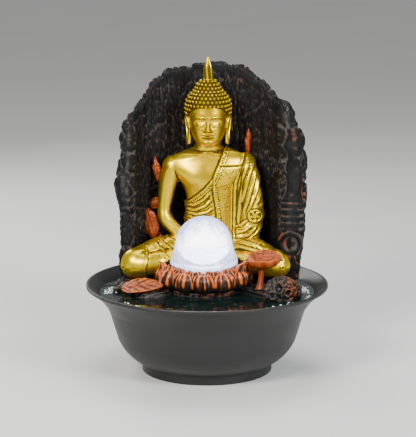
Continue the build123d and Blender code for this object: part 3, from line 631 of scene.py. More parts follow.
def buildGlowingWaterMaterial():
    # water lit through the dish: a painted glow of pale blue and white streaks, in place of the LED light
    # passing through it
    material, tree, shader, grain = startMaterial(
        "litWater", {"Roughness": 0.10, "IOR": 1.33, "Transmission Weight": 0.8, "Emission Strength": 0.62},
        400.0, 160.0, 0.20
    )
    streaks = reRange(tree, grain.outputs["Patches"], 0.35, 0.65)
    tree.links.new(
        mixColours(tree, streaks, (0.34, 0.42, 0.85), (0.86, 0.90, 1.0)), shader.inputs["Emission Color"]
    )
    tree.links.new(
        mixColours(tree, streaks, (0.80, 0.85, 1.0), (0.96, 0.98, 1.0)), shader.inputs["Base Color"]
    )
    return material


glowingWater = buildGlowingWaterMaterial()
poolWater = buildWaterMaterial()
litCrystal = buildBallMaterial()
lightChip = buildEmitterMaterial()
foamAndGlintWater = buildFoamAndGlintMaterial()
print("stage 2: materials built")

viewSetup = {
    "camera": (0.95, -1600.0, 466.5), "lookDown": 11.34, "lens": 142.2, "sensor": 36.0,
    "floorSize": 18000.0,
    "lights": [
        # place, size, watts, colour
        ((-650, -950, 900), 420, 20.0, (1.0, 0.98, 0.95)),
        ((750, -800, 700), 380, 15.0, (0.96, 0.98, 1.0)),
        ((0, 300, 1300), 700, 8.0, (1, 1, 1)),
        ((-500, 900, 700), 400, 6.0, (1, 1, 1)),
    ],
    "lightTarget": (0, 20, 140),
    "sky": 0.42,
}  # fmt: skip


def buildView(setup):
    scene = bpy.context.scene
    camera = bpy.data.cameras.new("viewCamera")
    camera.lens = setup["lens"]
    camera.sensor_width = setup["sensor"]
    holder = bpy.data.objects.new("viewCamera", camera)
    holder.location = np.array(setup["camera"]) * mm
    holder.rotation_euler = (np.radians(90 - setup["lookDown"]), 0, 0)
    scene.collection.objects.link(holder)
    scene.camera = holder
    for number, (place, size, watts, colour) in enumerate(setup["lights"]):
        lamp = bpy.data.lights.new(f"softbox{number}", "AREA")
        lamp.size = size * mm
        lamp.energy = watts
        lamp.color = colour
        box = bpy.data.objects.new(f"softbox{number}", lamp)
        box.location = np.array(place) * mm
        aim = Vector(setup["lightTarget"]) - Vector(place)
        box.rotation_euler = aim.to_track_quat("-Z", "Y").to_euler()
        scene.collection.objects.link(box)
    world = bpy.data.worlds.new("studio")
    world.use_nodes = True
    world.node_tree.nodes["Background"].inputs[0].default_value = (*(setup["sky"],) * 3, 1)
    scene.world = world
    half = setup["floorSize"] / 2
    corners = np.array([[-half, -half, 0], [half, -half, 0], [half, half, 0], [-half, half, 0]])
    mesh = rawMesh("floor", corners, [[0, 1, 2, 3]])
    floor = bpy.data.objects.new("floor", mesh)
    pale = plainMaterial("paleFloor", (0.70, 0.70, 0.69), (0.73, 0.73, 0.72), (0.6, 0.7), 300.0, 3.0, 0.02)
    mesh.materials.append(pale)
    scene.collection.objects.link(floor)


buildView(viewSetup)
print("stage 3: camera, floor and lights")

nodeFinish = {
    "bowl": bowlPlastic, "suction_cups": cupRubber, "pump_housing": pumpPlastic,
    "pump_volute": pumpPlastic, "pump_strainer": pumpPlastic, "rotor_shaft": shaftSteel,
    "shaft_seat": seatRubber, "cable_gland": seatRubber, "ball_dish": clearAcrylic,
    "led_housing": whitePlastic, "led_board": boardGreen, "led_chips": lightChip,
    "led_lens": lensFrost, "flow_splitter": hosePlastic, "jet_tube": hosePlastic,
    "riser_tube": hosePlastic, "outlet_tee": hosePlastic, "branch_tube_left": hosePlastic,
    "branch_tube_right": hosePlastic, "spout_left": rockPaint, "spout_right": rockPaint,
    "rotor_magnet": magnetGrey, "impeller": whitePlastic, "flow_dial": dialPlastic,
    "crystal_ball": litCrystal,
}  # fmt: skip
for nodeName, finish in nodeFinish.items():
    nodes[nodeName].data.materials.clear()
    nodes[nodeName].data.materials.append(finish)

pool = {"level": 76.0, "depth": 1.6, "radius": 102.4, "ripple": 0.5, "rings": 110, "around": 300}


def buildPool(p):
    # a thin round slab; its top is level + ripple * noise, calm at the edge, stirred by the ball's run-off
    r = p["radius"] * np.linspace(0, 1, p["rings"]) ** 0.8
    a = turnAngles(p["around"])
    rr, aa = np.meshgrid(r, a, indexing="ij")
    x, y = rr * np.cos(aa), rr * np.sin(aa)
    flat = np.stack([x, y, np.zeros_like(x)], -1)
    away = np.hypot(x - ballCentre[0], y - ballCentre[1])
    waves = 0.5 * np.sin(away / 2.3 + 2.5 * valueNoise(flat / 16, 3)) * bump(away - 44, 26)
    waves = waves + layeredNoise(flat, 12, 3, 5) * 0.8
    top = np.stack([x, y, p["level"] + p["ripple"] * waves * smoothStep(p["radius"] - rr, 0, 6)], -1)
    bottom = np.stack([x, y, np.full_like(x, p["level"] - p["depth"])], -1)
    points = np.concatenate([top, bottom[::-1]])
    faces = gridFaces(len(points), p["around"], wrapColumns=True)
    return makePiece("pool_water", points.reshape(-1, 3), faces, "bowl", poolWater)


foamAndGlintBeads = {"count": 640, "radius": (0.5, 1.5), "edgeGap": (0.5, 13.0), "level": 76.0, "around": 9, "rings": 5}


def buildFoamAndGlintBeads(p):
    # half-sunk pale beads, thick along the front edge and beside the knees: foam beside the knees where the
    # water falls, painted glints along the front edge standing in for light caught on the water
    own = np.random.default_rng(811)
    count = p["count"]
    angle = np.radians(own.normal(-92, 26, count))
    reach = (
        pool["radius"] - 0.8 - p["edgeGap"][0]
        - (p["edgeGap"][1] - p["edgeGap"][0]) * own.random(count) ** 1.7
    )
    size = own.uniform(*p["radius"], count) * own.uniform(0.6, 1, count)
    beside = own.random(count) < 0.22
    side = np.where(own.random(count) < 0.5, -1, 1)
    x = np.where(beside, side * own.uniform(84, 97, count), reach * np.cos(angle))
    y = np.where(beside, own.uniform(-14, 12, count), reach * np.sin(angle))
    keep = np.hypot(x, y) < pool["radius"] - 1.5
    x, y, size = x[keep], y[keep], size[keep]
    centres = np.stack([x, y, np.full(len(x), p["level"] + 0.1)], -1)
    one, oneFaces = ballShell((0, 0, 0), (1, 1, 0.62), p["around"], p["rings"])
    points = centres[:, None] + one[None] * size[:, None, None]
    faces = oneFaces[None] + (np.arange(len(centres)) * len(one))[:, None, None]
    return makePiece(
        "pool_foam_and_glints", points.reshape(-1, 3), faces.reshape(-1, 4), "bowl", foamAndGlintWater
    )


buildPool(pool)
buildFoamAndGlintBeads(foamAndGlintBeads)
print("stage 4: pool")

grotto = {
    "frontY": 30.0, "innerWidth": 70.2, "innerDepth": 48.2, "outerDepth": 59.5,
    # how wide the rock is on each side, by height
    "leftOutline": [(80, 85), (103, 84), (147, 84.5), (173, 88), (200, 84), (226, 81), (240, 78), (290, 76)],
    "rightOutline": [(80, 91), (103, 92), (140, 94), (166, 96.5), (205, 94), (222, 91), (236, 84), (290, 80)],
    # crown height by place across, as in an arch
    "crown": [(-88, 214), (-84, 224), (-80, 232), (-75, 238), (-65, 249), (-55, 265), (-38, 277), (-18, 278),
              (-12, 284.5), (20, 283), (36, 281), (59, 265), (68, 254), (78, 248), (84, 234), (92, 221),
              (97, 210)],
    "noseLength": 13.0, "across": 380, "around": 250,
    # features on the right front edge: x, z
    "ring": (80.5, 114.5), "ringSize": 8.5, "ledgesX": 83.0, "ledges": (129, 156),
    "plate": (84.0, 178.0), "plateSize": (7.5, 16.0),
    # rounded lumps along the front: x, z, half width, half height
    "lumps": [(-73, 219, 11, 15), (-79, 167, 10.5, 15), (-72, 194, 8, 9), (-79, 128, 9, 15),
        (-77, 99, 8.5, 11),
              (-62, 243, 9, 9), (-48, 262, 11, 9), (-26, 275, 11, 7.5), (8, 280, 13, 8), (36, 275, 12, 8),
              (58, 259, 11, 9), (73, 240, 9.5, 10), (84, 212, 8.5, 13), (68, 221, 7, 9)],
}  # fmt: skip


def crownHeight(x, g):
    keys = np.array(g["crown"], float)
    return np.interp(x, keys[:, 0], keys[:, 1])


def buildGrotto(g):
    # u runs round the arch from the right front edge to the left one, v round the wall's slice:
    # up the inner face, over the crown, down the outer face and back under it
    u = np.linspace(0, 1, g["across"])
    u = u - 0.035 * np.sin(2 * np.pi * u)
    theta = np.pi * u
    arc = np.minimum(u, 1 - u) * 262
    thin = np.sqrt(np.clip(1 - (1 - np.minimum(arc / g["noseLength"], 1)) ** 2, 0, 1))
    v = np.linspace(0, 1, g["around"], endpoint=False)
    inner, crown, outer = 0.45, 0.55, 0.96
    up = np.interp(v, [0, inner, crown, outer, 1], [0, 1, 1, 0, 0])
    out = np.interp(v, [0, inner, crown, outer, 1], [0, 0, 1, 1, 0])
    out = out * out * (3 - 2 * out)
    th, upG = np.meshgrid(theta, up, indexing="ij")
    outG = np.broadcast_to(out, th.shape)
    centreX = 78 * np.cos(th)
    top = crownHeight(centreX + 2, g)
    z = deckTop - 1.5 + upG * (top - deckTop + 1.5)
    side = smoothStep(np.cos(th), -0.55, 0.55)
    halfWidth = tableAt(g["leftOutline"], z) * (1 - side) + tableAt(g["rightOutline"], z) * side
    innerWidth = g["innerWidth"] * np.ones_like(z)
    # the crown's rounding: the slice draws in toward its middle near the top
    crownRound = np.sqrt(np.clip(1 - np.clip((upG - 0.965) / 0.035, 0, 1) ** 2, 0, 1)) * 0.6 + 0.4
    mix = 0.5 + (outG - 0.5) * thin[:, None] * crownRound
    a = innerWidth + (halfWidth - innerWidth) * mix
    b = g["innerDepth"] + (g["outerDepth"] - g["innerDepth"]) * mix
    x, y = a * np.cos(th), g["frontY"] + b * np.sin(th)
    points = np.stack([x, y, z], -1).reshape(-1, 3)
    faces = gridFaces(g["across"], g["around"], wrapColumns=True)
    normals = pointNormals(points, faces)
    if np.sum(normals[:, 1] * (points[:, 1] - 60) * (np.abs(points[:, 0]) < 20)) < 0:
        normals = -normals
    # lumps: upright columns, boulders, then cracks and grit; the cave inside is calmer
    cave = (outG < 0.2).reshape(-1) * smoothStep(points[:, 1], 34, 46)
    calm = 1 - 0.84 * cave
    stretched = points * np.array([1, 1, 0.4])
    near, far = cellNoise(stretched + 3.0 * valueNoise(points / 11, 50)[:, None], 19, 21)
    boulders = (1 - near) * 4.4 - 2.0 * bump(far - near, 0.07)
    near2, far2 = cellNoise(
        points * np.array([1, 1, 0.6]) + 2.0 * valueNoise(points / 5, 51)[:, None], 8.5, 31
    )
    chips = (1 - near2) * 1.7 - 0.5 * bump(far2 - near2, 0.08)
    upright = points * np.array([1, 1, 0.16])
    streaks = layeredNoise(upright, 3.4, 3, 61, 0.7) * 0.5
    grit = layeredNoise(points, 3.4, 4, 71, 0.7) * 0.55
    lumps = layeredNoise(points, 26, 2, 41) * 2.6
    crackled = smoothStep(valueNoise(points / 22, 55), -0.2, 0.4)
    pushOut = (
        (boulders + lumps + chips) * calm + streaks * (0.5 + 0.7 * crackled) + grit * (1 - 0.6 * cave) - 1.9
    )
    # rounded lumps along the front, each with a groove round it
    px, pz = points[:, 0], points[:, 2]
    facing = smoothStep(-normals[:, 1], -0.45, 0.35) * (1 - cave)
    rim = np.zeros(len(points))
    for x, z, wide, tall in g["lumps"]:
        reach = np.hypot((px - x) / wide, (pz - z) / tall) + 0.17 * layeredNoise(points, 7, 2, 83)
        near4 = facing * smoothStep(reach, 1.25, 0.95)
        pushOut = pushOut * (1 - 0.35 * near4) + near4 * 2.6 * np.sqrt(np.clip(1 - reach**2 * 0.8, 0, 1))
        pushOut = pushOut - facing * 1.4 * bump(reach - 1.16, 0.075)
        rim = np.maximum(rim, facing * bump(reach - 0.98, 0.07))
    # the right front edge: a hollow ring, level ledges above it, and a smooth upright plate
    front = smoothStep(-normals[:, 1], -0.1, 0.55) * (points[:, 0] > 60)
    ringGap = np.hypot(px - g["ring"][0], (pz - g["ring"][1]) * 0.85)
    near3 = front * smoothStep(ringGap, g["ringSize"] + 4.5, g["ringSize"] + 1.5)
    ringShape = (
        2.2 * bump(ringGap - g["ringSize"], 1.5)
        - 4.2 * smoothStep(ringGap, g["ringSize"] - 0.5, g["ringSize"] - 4)
    )
    pushOut = pushOut * (1 - near3) + ringShape * near3
    onLedges = (
        front * smoothStep(pz, g["ledges"][0] - 2, g["ledges"][0])
        * smoothStep(pz, g["ledges"][1] + 2, g["ledges"][1])
    )
    onLedges = onLedges * smoothStep(np.abs(px - g["ledgesX"]), 13, 10)
    steps = (
        1.5 * np.abs(np.sin(np.pi * (pz - g["ledges"][0] + 0.8 * valueNoise(points / 6, 81)) / 6.5)) ** 0.6
    )
    pushOut = pushOut * (1 - 0.75 * onLedges) + steps * onLedges
    plateGap = np.hypot((px - g["plate"][0]) / g["plateSize"][0], (pz - g["plate"][1]) / g["plateSize"][1])
    onPlate = front * smoothStep(plateGap, 1.15, 0.95)
    pushOut = pushOut * (1 - 0.85 * onPlate) + (2.4 - 1.0 * plateGap**2) * onPlate
    settle = smoothStep(points[:, 2], deckTop - 1, deckTop + 6) * 0.75 + 0.25
    # the two faces meet in one line down each front edge, so nothing moves there
    settle = settle * smoothStep(np.repeat(arc, g["around"]), -0.4, 2.6)
    points = points + normals * (pushOut * settle)[:, None]
    points[:, 1] = np.minimum(points[:, 1], 93.5)
    # painted shade: the cave inside is pushed toward the dark wash
    hollowAndShade = np.clip(hollowness(points, faces, 4, 0.26) + 0.30 * cave - 0.55 * rim, -1, 1)
    return makePiece(
        "grotto_wall", points, faces, "sculpture", rockPaint, ["rock_backdrop"], hollowAndShade
    )


ledge = {
    "centre": (0.0, 22.0), "frontY": -8.0, "thickness": 10.0,
    # circles that make up the plan: x, y, radius
    "circles": [(-3.0, 6.2, 38.0), (-58.0, -16.0, 17.5), (54.0, -6.0, 13.5), (66.0, -20.0, 14.0),
        (70.0, -33.0, 13.0)],
    "radius": 90.2, "around": 420, "rings": 46,
}  # fmt: skip


def reachOfCircle(angle, centre, circle):
    # how far a ray from centre goes before it leaves the circle; 0 if it misses
    dx, dy = circle[0] - centre[0], circle[1] - centre[1]
    along = dx * np.cos(angle) + dy * np.sin(angle)
    off = dx * dx + dy * dy - along**2
    inside = circle[2] ** 2 - off
    return np.where((inside > 0) & (along > 0), along + np.sqrt(np.maximum(inside, 0)), 0)


def buildLedge(p):
    # a slab whose edge is the furthest of its circles, cut straight in front, then broken into rock
    a = turnAngles(p["around"])
    cx, cy = p["centre"]
    main = reachOfCircle(a, p["centre"], (0, 0, p["radius"]))
    cut = np.where(np.sin(a) < -0.01, (p["frontY"] - cy) / np.minimum(np.sin(a), -0.01), 1e9)
    inMain = (
        -cx * np.cos(a) - cy * np.sin(a) + np.sqrt(p["radius"] ** 2 - (cx * np.sin(a) - cy * np.cos(a)) ** 2)
    )
    reach = np.minimum(np.maximum(main, inMain), cut)
    for circle in p["circles"]:
        reach = np.maximum(reach, reachOfCircle(a, p["centre"], circle))
    edgePoint = np.stack([reach * np.cos(a), reach * np.sin(a), 0 * a], -1)
    reach = reach - 1.2 + 1.6 * layeredNoise(edgePoint, 7, 2, 95)
    # profile: 0..1 in across the top, the edge, then back in underneath
    n = p["rings"]
    share = np.concatenate([np.linspace(0, 1, n), np.ones(10), np.linspace(1, 0, 14)])
    drop = np.concatenate([np.zeros(n), np.linspace(0, 1, 12)[1:-1], np.ones(14)])
    rr = share[:, None] * reach
    points = polarPoints(p["centre"], rr, a, deckTop - p["thickness"] * drop[:, None]).reshape(-1, 3)
    faces = gridFaces(len(share), p["around"], wrapColumns=True)
    edge = np.broadcast_to(smoothStep(share, 0.55, 1.0)[:, None], rr.shape).reshape(-1)
    top = np.broadcast_to((drop < 0.5)[:, None], rr.shape).reshape(-1)
    normals = pointNormals(points, faces)
    if np.mean(normals[:, 2] * top) < 0:
        normals = -normals
    near, far = cellNoise(points + 1.5 * valueNoise(points / 6, 91)[:, None], 9, 92)
    rough = (1 - near) * 1.8 - 0.8 * bump(far - near, 0.12) + layeredNoise(points, 3.4, 3, 93) * 0.5 - 1.1
    underCup = np.hypot(points[:, 0] - ballCentre[0], points[:, 1] - ballCentre[1]) < 40
    points = points + normals * (rough * np.where(underCup & top, 0.15, 1.0) * (0.6 + 0.6 * edge))[:, None]
    return makePiece(
        "rock_ledge", points, faces, "sculpture", rockPaint, ["rock_base"],
        hollowness(points, faces, 4, 0.24),
    )


skirt = {
    "centre": (0.0, 8.0), "outer": 52.0, "inner": 47.0, "bottom": 11.4, "arch": (7.0, 10.0), "around": 400,
    "rows": 40
}


def buildSkirt(p):
    # a ring wall; its foot rises into an arch at front, back, left and right
    a = turnAngles(p["around"])
    v = np.linspace(0, 1, p["rows"])
    top = deckTop - 8
    quarter = (a + np.pi / 4) % (np.pi / 2) - np.pi / 4
    sideways = quarter * p["outer"]
    half, height = p["arch"]
    foot = p["bottom"] + np.where(
        np.abs(sideways) < half, height - half + np.sqrt(np.maximum(half**2 - sideways**2, 0)), 0
    )
    shells = []
    for radius, order in ((p["outer"], 1), (p["inner"], -1)):
        z = foot + (top - foot) * v[:, None]
        shells.append(polarPoints(p["centre"], radius + 0 * z, a, z)[::order])
    points = np.concatenate(shells).reshape(-1, 3)
    faces = gridFaces(2 * p["rows"], p["around"], wrapRows=True, wrapColumns=True)
    out = points - np.array([*p["centre"], 0])
    out[:, 2] = 0
    out /= np.linalg.norm(out, axis=1, keepdims=True)
    outside = np.repeat([1.0, 0.3], len(points) // 2)
    rough = (
        layeredNoise(points, 7, 3, 101) * 0.7 + ridgeNoise(points * np.array([1, 1, 0.5]), 9, 2, 102) * 0.4
        - 0.5
    )
    points = points + out * (rough * outside)[:, None]
    return makePiece(
        "rock_skirt", points, faces, "sculpture", rockPaint,
        hollowAndShade=hollowness(points, faces, 4, 0.2)
    )


buildGrotto(grotto)
buildLedge(ledge)
buildSkirt(skirt)
print("stage 5: rock")

robe = {
    "neckline": [(22, 216), (17, 204), (12, 192), (4.8, 176), (-3, 167), (-16.4, 155), (-22, 151.5),
        (-45, 148)],
    "bandWidth": 3.8, "thickness": 1.5,
    "panelLeft": [(110, 11.0), (125, 10.0), (147, 8.2), (170, 5.6), (185, 8.2), (200, 15.5), (210, 18.0)],
    "panelRight": [(110, 27.0), (132, 27.7), (147, 28.0), (175, 29.5), (190, 34.0), (203, 38.5), (210, 40.0)],
    "panelThickness": 1.1, "seamHeight": 189.0,
    "medallion": (46.0, 140.5), "medallionSize": 6.2,
}  # fmt: skip

# fold lines on the front of the body, each a list of x, z points
bodyFolds = [
    ((41, 197), (34.5, 176), (31.5, 152), (30, 130)), ((45, 195), (39, 173), (34, 151), (32, 136)),
    ((47.5, 189), (43.5, 169), (38, 149), (35, 139)), ((50, 181), (47.5, 165), (42.5, 151), (39, 143)),
    ((52, 171), (50.5, 159), (46.5, 150)), ((54, 160), (53, 152), (50.5, 147.5)),
    ((53, 133), (46, 122.5), (36, 116.5)), ((48, 131), (40, 122.5), (29, 119)),
    ((43, 132), (36, 126), (27, 123.5)), ((40, 137), (34, 131), (26, 129)),
    ((55, 130), (51, 119.5), (42, 113)), ((38, 116), (28, 112), (18, 111)),
    ((-22, 150.0), (-12, 151), (-3, 157), (3.5, 165)), ((-22, 146.4), (-11, 146.2), (-2, 150.5), (5, 158)),
    ((-21, 142.8), (-10, 142), (0, 144.5), (7, 150)), ((-20, 139.2), (-8, 138), (3, 139.5), (8, 142)),
    ((-19, 135.6), (-8, 134), (4, 134)), ((-19, 131.5), (-8, 130), (4, 129)),
]  # fmt: skip

# fold lines over the legs, each a list of x, z points
legFolds = [
    ((-50, 117), (-42, 111), (-36, 104)), ((-46, 119), (-38, 114), (-31, 108)),
    ((-41, 121), (-33, 118), (-27, 114)),
    ((-62, 112), (-54, 109), (-45, 110), (-38, 107)), ((30, 117), (42, 116), (56, 113)),
    ((28, 113), (42, 111.5), (58, 109)), ((33, 109), (46, 107), (60, 105)),
    ((40, 104), (52, 102.5), (64, 101.5)),
    ((60, 112.5), (66, 108), (70, 102)), ((63, 113.5), (71, 108.5), (75, 101)),
]  # fmt: skip


def nearPath(x, z, path):
    # signed gap to a broken line, positive on its left hand, and the length walked along it
    path = np.asarray(path, float)
    gap, sign, along, walked = np.full(x.shape, 1e9), np.ones(x.shape), np.zeros(x.shape), 0.0
    for start, end in zip(path[:-1], path[1:]):
        step = end - start
        length = np.hypot(*step)
        share = np.clip(((x - start[0]) * step[0] + (z - start[1]) * step[1]) / length**2, 0, 1)
        here = np.hypot(x - start[0] - share * step[0], z - start[1] - share * step[1])
        closer = here < gap
        side = np.where(step[0] * (z - start[1]) - step[1] * (x - start[0]) < 0, -1.0, 1.0)
        gap, sign = np.where(closer, here, gap), np.where(closer, side, sign)
        along = np.where(closer, walked + share * length, along)
        walked += length
    return gap * sign, along


def foldRelief(x, z, folds, width, height):
    # each fold is a bell across its line with a sharp crease on its lower side, fading at both ends
    total = np.zeros(x.shape)
    for fold in folds:
        gap, along = nearPath(x, z, fold)
        length = sum(np.hypot(*(np.subtract(b, a))) for a, b in zip(fold[:-1], fold[1:]))
        fade = smoothStep(along, -0.01, 0.22 * length) * smoothStep(along, length * 1.001, 0.75 * length)
        total = total + fade * height * (bump(gap, width) - 0.55 * bump(gap - 1.5 * width, 0.45 * width))
    return total


cupClear = {"reach": 38.2, "top": 104.5, "ballGap": 1.5}


def clearOfNeighbours(points):
    # what comes too near the ball or the cup moves straight out of it
    away = points - ballCentre
    gap = np.linalg.norm(away, axis=1, keepdims=True)
    clear = ballRadius + cupClear["ballGap"]
    points = np.where(gap < clear, ballCentre + away / gap * clear, points)
    flat = points[:, :2] - ballCentre[:2]
    reach = np.linalg.norm(flat, axis=1)
    keep, top = cupClear["reach"], cupClear["top"]
    inside = (reach < keep) & (points[:, 2] < top)
    lift = top - points[:, 2]
    push = keep - reach
    outward = points.copy()
    outward[:, :2] = ballCentre[:2] + flat / np.maximum(reach, 1)[:, None] * keep
    upward = points.copy()
    upward[:, 2] = top
    chosen = np.where((push < lift)[:, None], outward, upward)
    return np.where(inside[:, None], chosen, points)


def buildUpperBody(r):
    cx = 1.0
    trunk = sweptShell(
        [(cx, 56, 92), (cx, 56, 104), (cx, 55, 120), (cx, 54.5, 136), (cx, 54, 153), (cx, 53.8, 166),
            (cx, 53.8, 174),
         (cx, 54, 181), (cx, 54.5, 187), (cx, 55, 192), (cx, 55.5, 196.5), (cx, 56, 200.5), (cx, 55.5, 204),
         (cx, 54, 208),
         (cx, 53, 216)],
        [34, 33, 25.5, 22, 20.8, 23.6, 28.5, 36.5, 40.5, 40.5, 36, 26.5, 16.5, 12.6, 11.6],
        [19, 19, 17.5, 16, 15.4, 16.6, 17.6, 17.4, 16.4, 15, 13, 11.6, 11.4, 11.4, 11.2],
        up=(0, -1, 0), around=72, stations=120,
    )  # fmt: skip
    bareArm = sweptShell(
        [(cx - 33.5, 55, 185), (cx - 38, 54, 175), (cx - 41, 52.5, 160), (cx - 43, 50.5, 144),
            (cx - 40.5, 48, 135.5),
         (cx - 31, 43.5, 125.5), (cx - 18, 40.5, 116), (cx - 9, 39.5, 112)],
        [10.2, 9.2, 7.6, 6.4, 6.6, 6.0, 5.0, 4.6], [11.0, 9.6, 8.2, 7.2, 7.0, 6.2, 5.0, 4.4],
        up=(0, -1, 0), around=44, stations=90,
    )  # fmt: skip
    sleeve = sweptShell(
        [(cx + 34.5, 55, 186), (cx + 38, 54, 175), (cx + 40, 52.5, 160), (cx + 42, 50.5, 144),
            (cx + 40.5, 49.5, 132),
         (cx + 34, 46, 122), (cx + 25, 44, 116)],
        [11.4, 10.6, 10.6, 11.0, 11.2, 9.8, 8.4], [11.8, 11.4, 11.4, 12, 12, 10, 8],
        up=(0, -1, 0), around=48, stations=90,
    )  # fmt: skip
    drape = sweptShell(
        [(cx + 43, 50, 136), (cx + 40, 47, 124), (cx + 34, 44, 113)], [8.0, 9.5, 11.5], [7, 8.5, 8],
        up=(0, -1, 0), around=40, stations=40,
    )  # fmt: skip
    # the shawl fills the gap between the side and the arm
    web = sweptShell(
        [(cx + 29, 53, 182), (cx + 29, 52, 150), (cx + 28, 49, 118)], [8, 9.5, 10], [10, 9.5, 9],
        up=(0, -1, 0), around=40, stations=40,
    )  # fmt: skip
    shells = [trunk, bareArm, sleeve, drape, web]
    shells.append(ballShell((cx - 33, 55.5, 187), (11.5, 11, 10.5)))
    shells.append(ballShell((cx + 33.5, 55.5, 188), (12, 11.5, 10.5)))
    # the hands lie one over the other in the lap, thumbs meeting above
    for side, height in ((-1, 111.0), (1, 114.5)):
        shells.append(sweptShell(
            [(cx + side * 14, 41, height + 1.5), (cx + side * 5, 40, height),
                (cx - side * 5, 40, height - 0.3)],
            [6, 6.6, 6], [3.6, 3.2, 2.6], up=(0, 0, 1), around=32, stations=30))  # fmt: skip
        for finger in range(4):
            y = 44.2 - 2.9 * finger
            shells.append(sweptShell(
                [(cx - side * 4, y, height), (cx - side * 10, y, height - 0.4),
                    (cx - side * (15 - abs(finger - 1.4)), y + 0.4, height + 0.3)],
                [1.6, 1.5, 1.2], [1.7, 1.5, 1.2], up=(0, 0, 1), around=14, stations=16))  # fmt: skip
        shells.append(sweptShell(
            [(cx + side * 9, 37, height + 3), (cx + side * 5, 37.2, 119), (cx + side * 0.9, 38, 121)],
            [1.9, 1.6, 1.3], [1.9, 1.6, 1.3], up=(0, 1, 0), around=14, stations=18))  # fmt: skip
    points, faces = fuseShapes(shells, 0.70, 12)
    normals = pointNormals(points, faces)
    x, y, z = points.T
    # bare chest: breast, collar bones, the line between, and two rings at the neck
    front = smoothStep(-normals[:, 1], 0.05, 0.5)
    lift = front * 1.5 * bump(np.hypot((x + 13) / 1.25, z - 176), 9.5)
    lift = lift + front * 1.2 * bump(np.hypot((x - 15) / 1.25, z - 176), 9.5)
    lift = lift - front * 0.3 * bump(x + 0.5, 4.5) * smoothStep(z, 150, 160) * smoothStep(z, 196, 186)
    lift = lift + front * 0.8 * bump(z - 198 + 0.10 * np.abs(x - 1), 1.7) * bump(np.abs(x - 1) - 14, 9)
    neck = smoothStep(z, 198, 200) * smoothStep(np.abs(x - 1), 22, 17)
    lift = lift - neck * 0.5 * bump(z - 203.2 + 0.04 * (56 - y), 0.7)
    bareGap, _ = nearPath(x, z, [(-33, 192), (-40, 160), (-41, 142), (-36, 132), (-16, 116), (-4, 112)])
    onBare = (
        smoothStep(np.abs(bareGap), 12.5, 10.5) * smoothStep(x, -19, -24)
        + smoothStep(z, 118, 114) * smoothStep(x, 22, 16)
    )
    lift = lift + 0.5 * bump(np.hypot(x + 41, z - 141), 5) * np.clip(onBare, 0, 1)
    # robe: all that is right of and under its neckline, with a corded, beaded band along the edge
    gap, along = nearPath(x, z, r["neckline"])
    covered = smoothStep(gap, -0.25, 0.35) * (1 - np.clip(onBare, 0, 1))
    lift = lift * (1 - 0.75 * covered) + r["thickness"] * covered
    band = covered * smoothStep(gap, r["bandWidth"] + 0.4, r["bandWidth"] - 0.2)
    lift = lift + covered * (0.65 * bump(gap - 0.55, 0.45) + 0.6 * bump(gap - r["bandWidth"], 0.45))
    lift = lift - band * 0.35 * bump(gap - r["bandWidth"] / 2, 1.2)
    beads = np.abs(np.cos(np.pi * along / 2.3)) ** 2
    lift = lift + band * 0.75 * beads * bump(gap - r["bandWidth"] / 2, 0.75)
    # shawl: a flat panel with corded edges, a seam, beads down its left edge and small bosses
    left = tableAt(r["panelLeft"], z)
    right = tableAt(r["panelRight"], z)
    onPanel = (
        covered * front * smoothStep(x - left, -0.3, 0.5) * smoothStep(right - x, -0.3, 0.5)
        * smoothStep(z, 108, 112)
    )
    folds = covered * front * foldRelief(x, z, bodyFolds, 1.15, 1.25) * (1 - onPanel)
    backFolds = (
        covered * (1 - front) * 0.55 * np.sin((x * 0.8 + z) / 2.6 + 1.2 * valueNoise(points / 14, 211))
    )
    lift = lift + folds + backFolds * smoothStep(z, 204, 196)
    edges = bump(x - left - 0.6, 0.5) + bump(right - x - 0.6, 0.5) + 0.8 * bump(right - x - 3.2, 0.45)
    lift = lift + onPanel * (r["panelThickness"] + 0.6 * edges)
    lift = (
        lift
        + onPanel * (0.9 * smoothStep(z, r["seamHeight"] - 0.4, r["seamHeight"] + 0.6)
            - 0.7 * bump(z - r["seamHeight"] + 0.6, 0.5))
    )
    rowOfBeads = bump(x - left - 2.2, 0.7) * np.abs(np.cos(np.pi * z / 2.4)) ** 2 * smoothStep(z, 172, 166)
    lift = lift + onPanel * 0.8 * rowOfBeads
    cellX, cellZ = (x - 17) / 9.0 + 0.5 * np.floor(z / 11) % 1, z / 11
    offX, offZ = (cellX - np.floor(cellX) - 0.5) * 9.0, (cellZ - np.floor(cellZ) - 0.5) * 11
    petals = np.hypot(offX, offZ) / (1 + 0.22 * np.cos(5 * np.arctan2(offZ, offX)))
    within = (
        smoothStep(x - left, 3.6, 4.8) * smoothStep(right - x, 4.4, 5.6)
        * smoothStep(z, r["seamHeight"] - 2, r["seamHeight"] - 4)
    )
    lift = lift + onPanel * within * (0.3 * bump(petals - 2.2, 0.65) + 0.3 * bump(petals, 0.75))
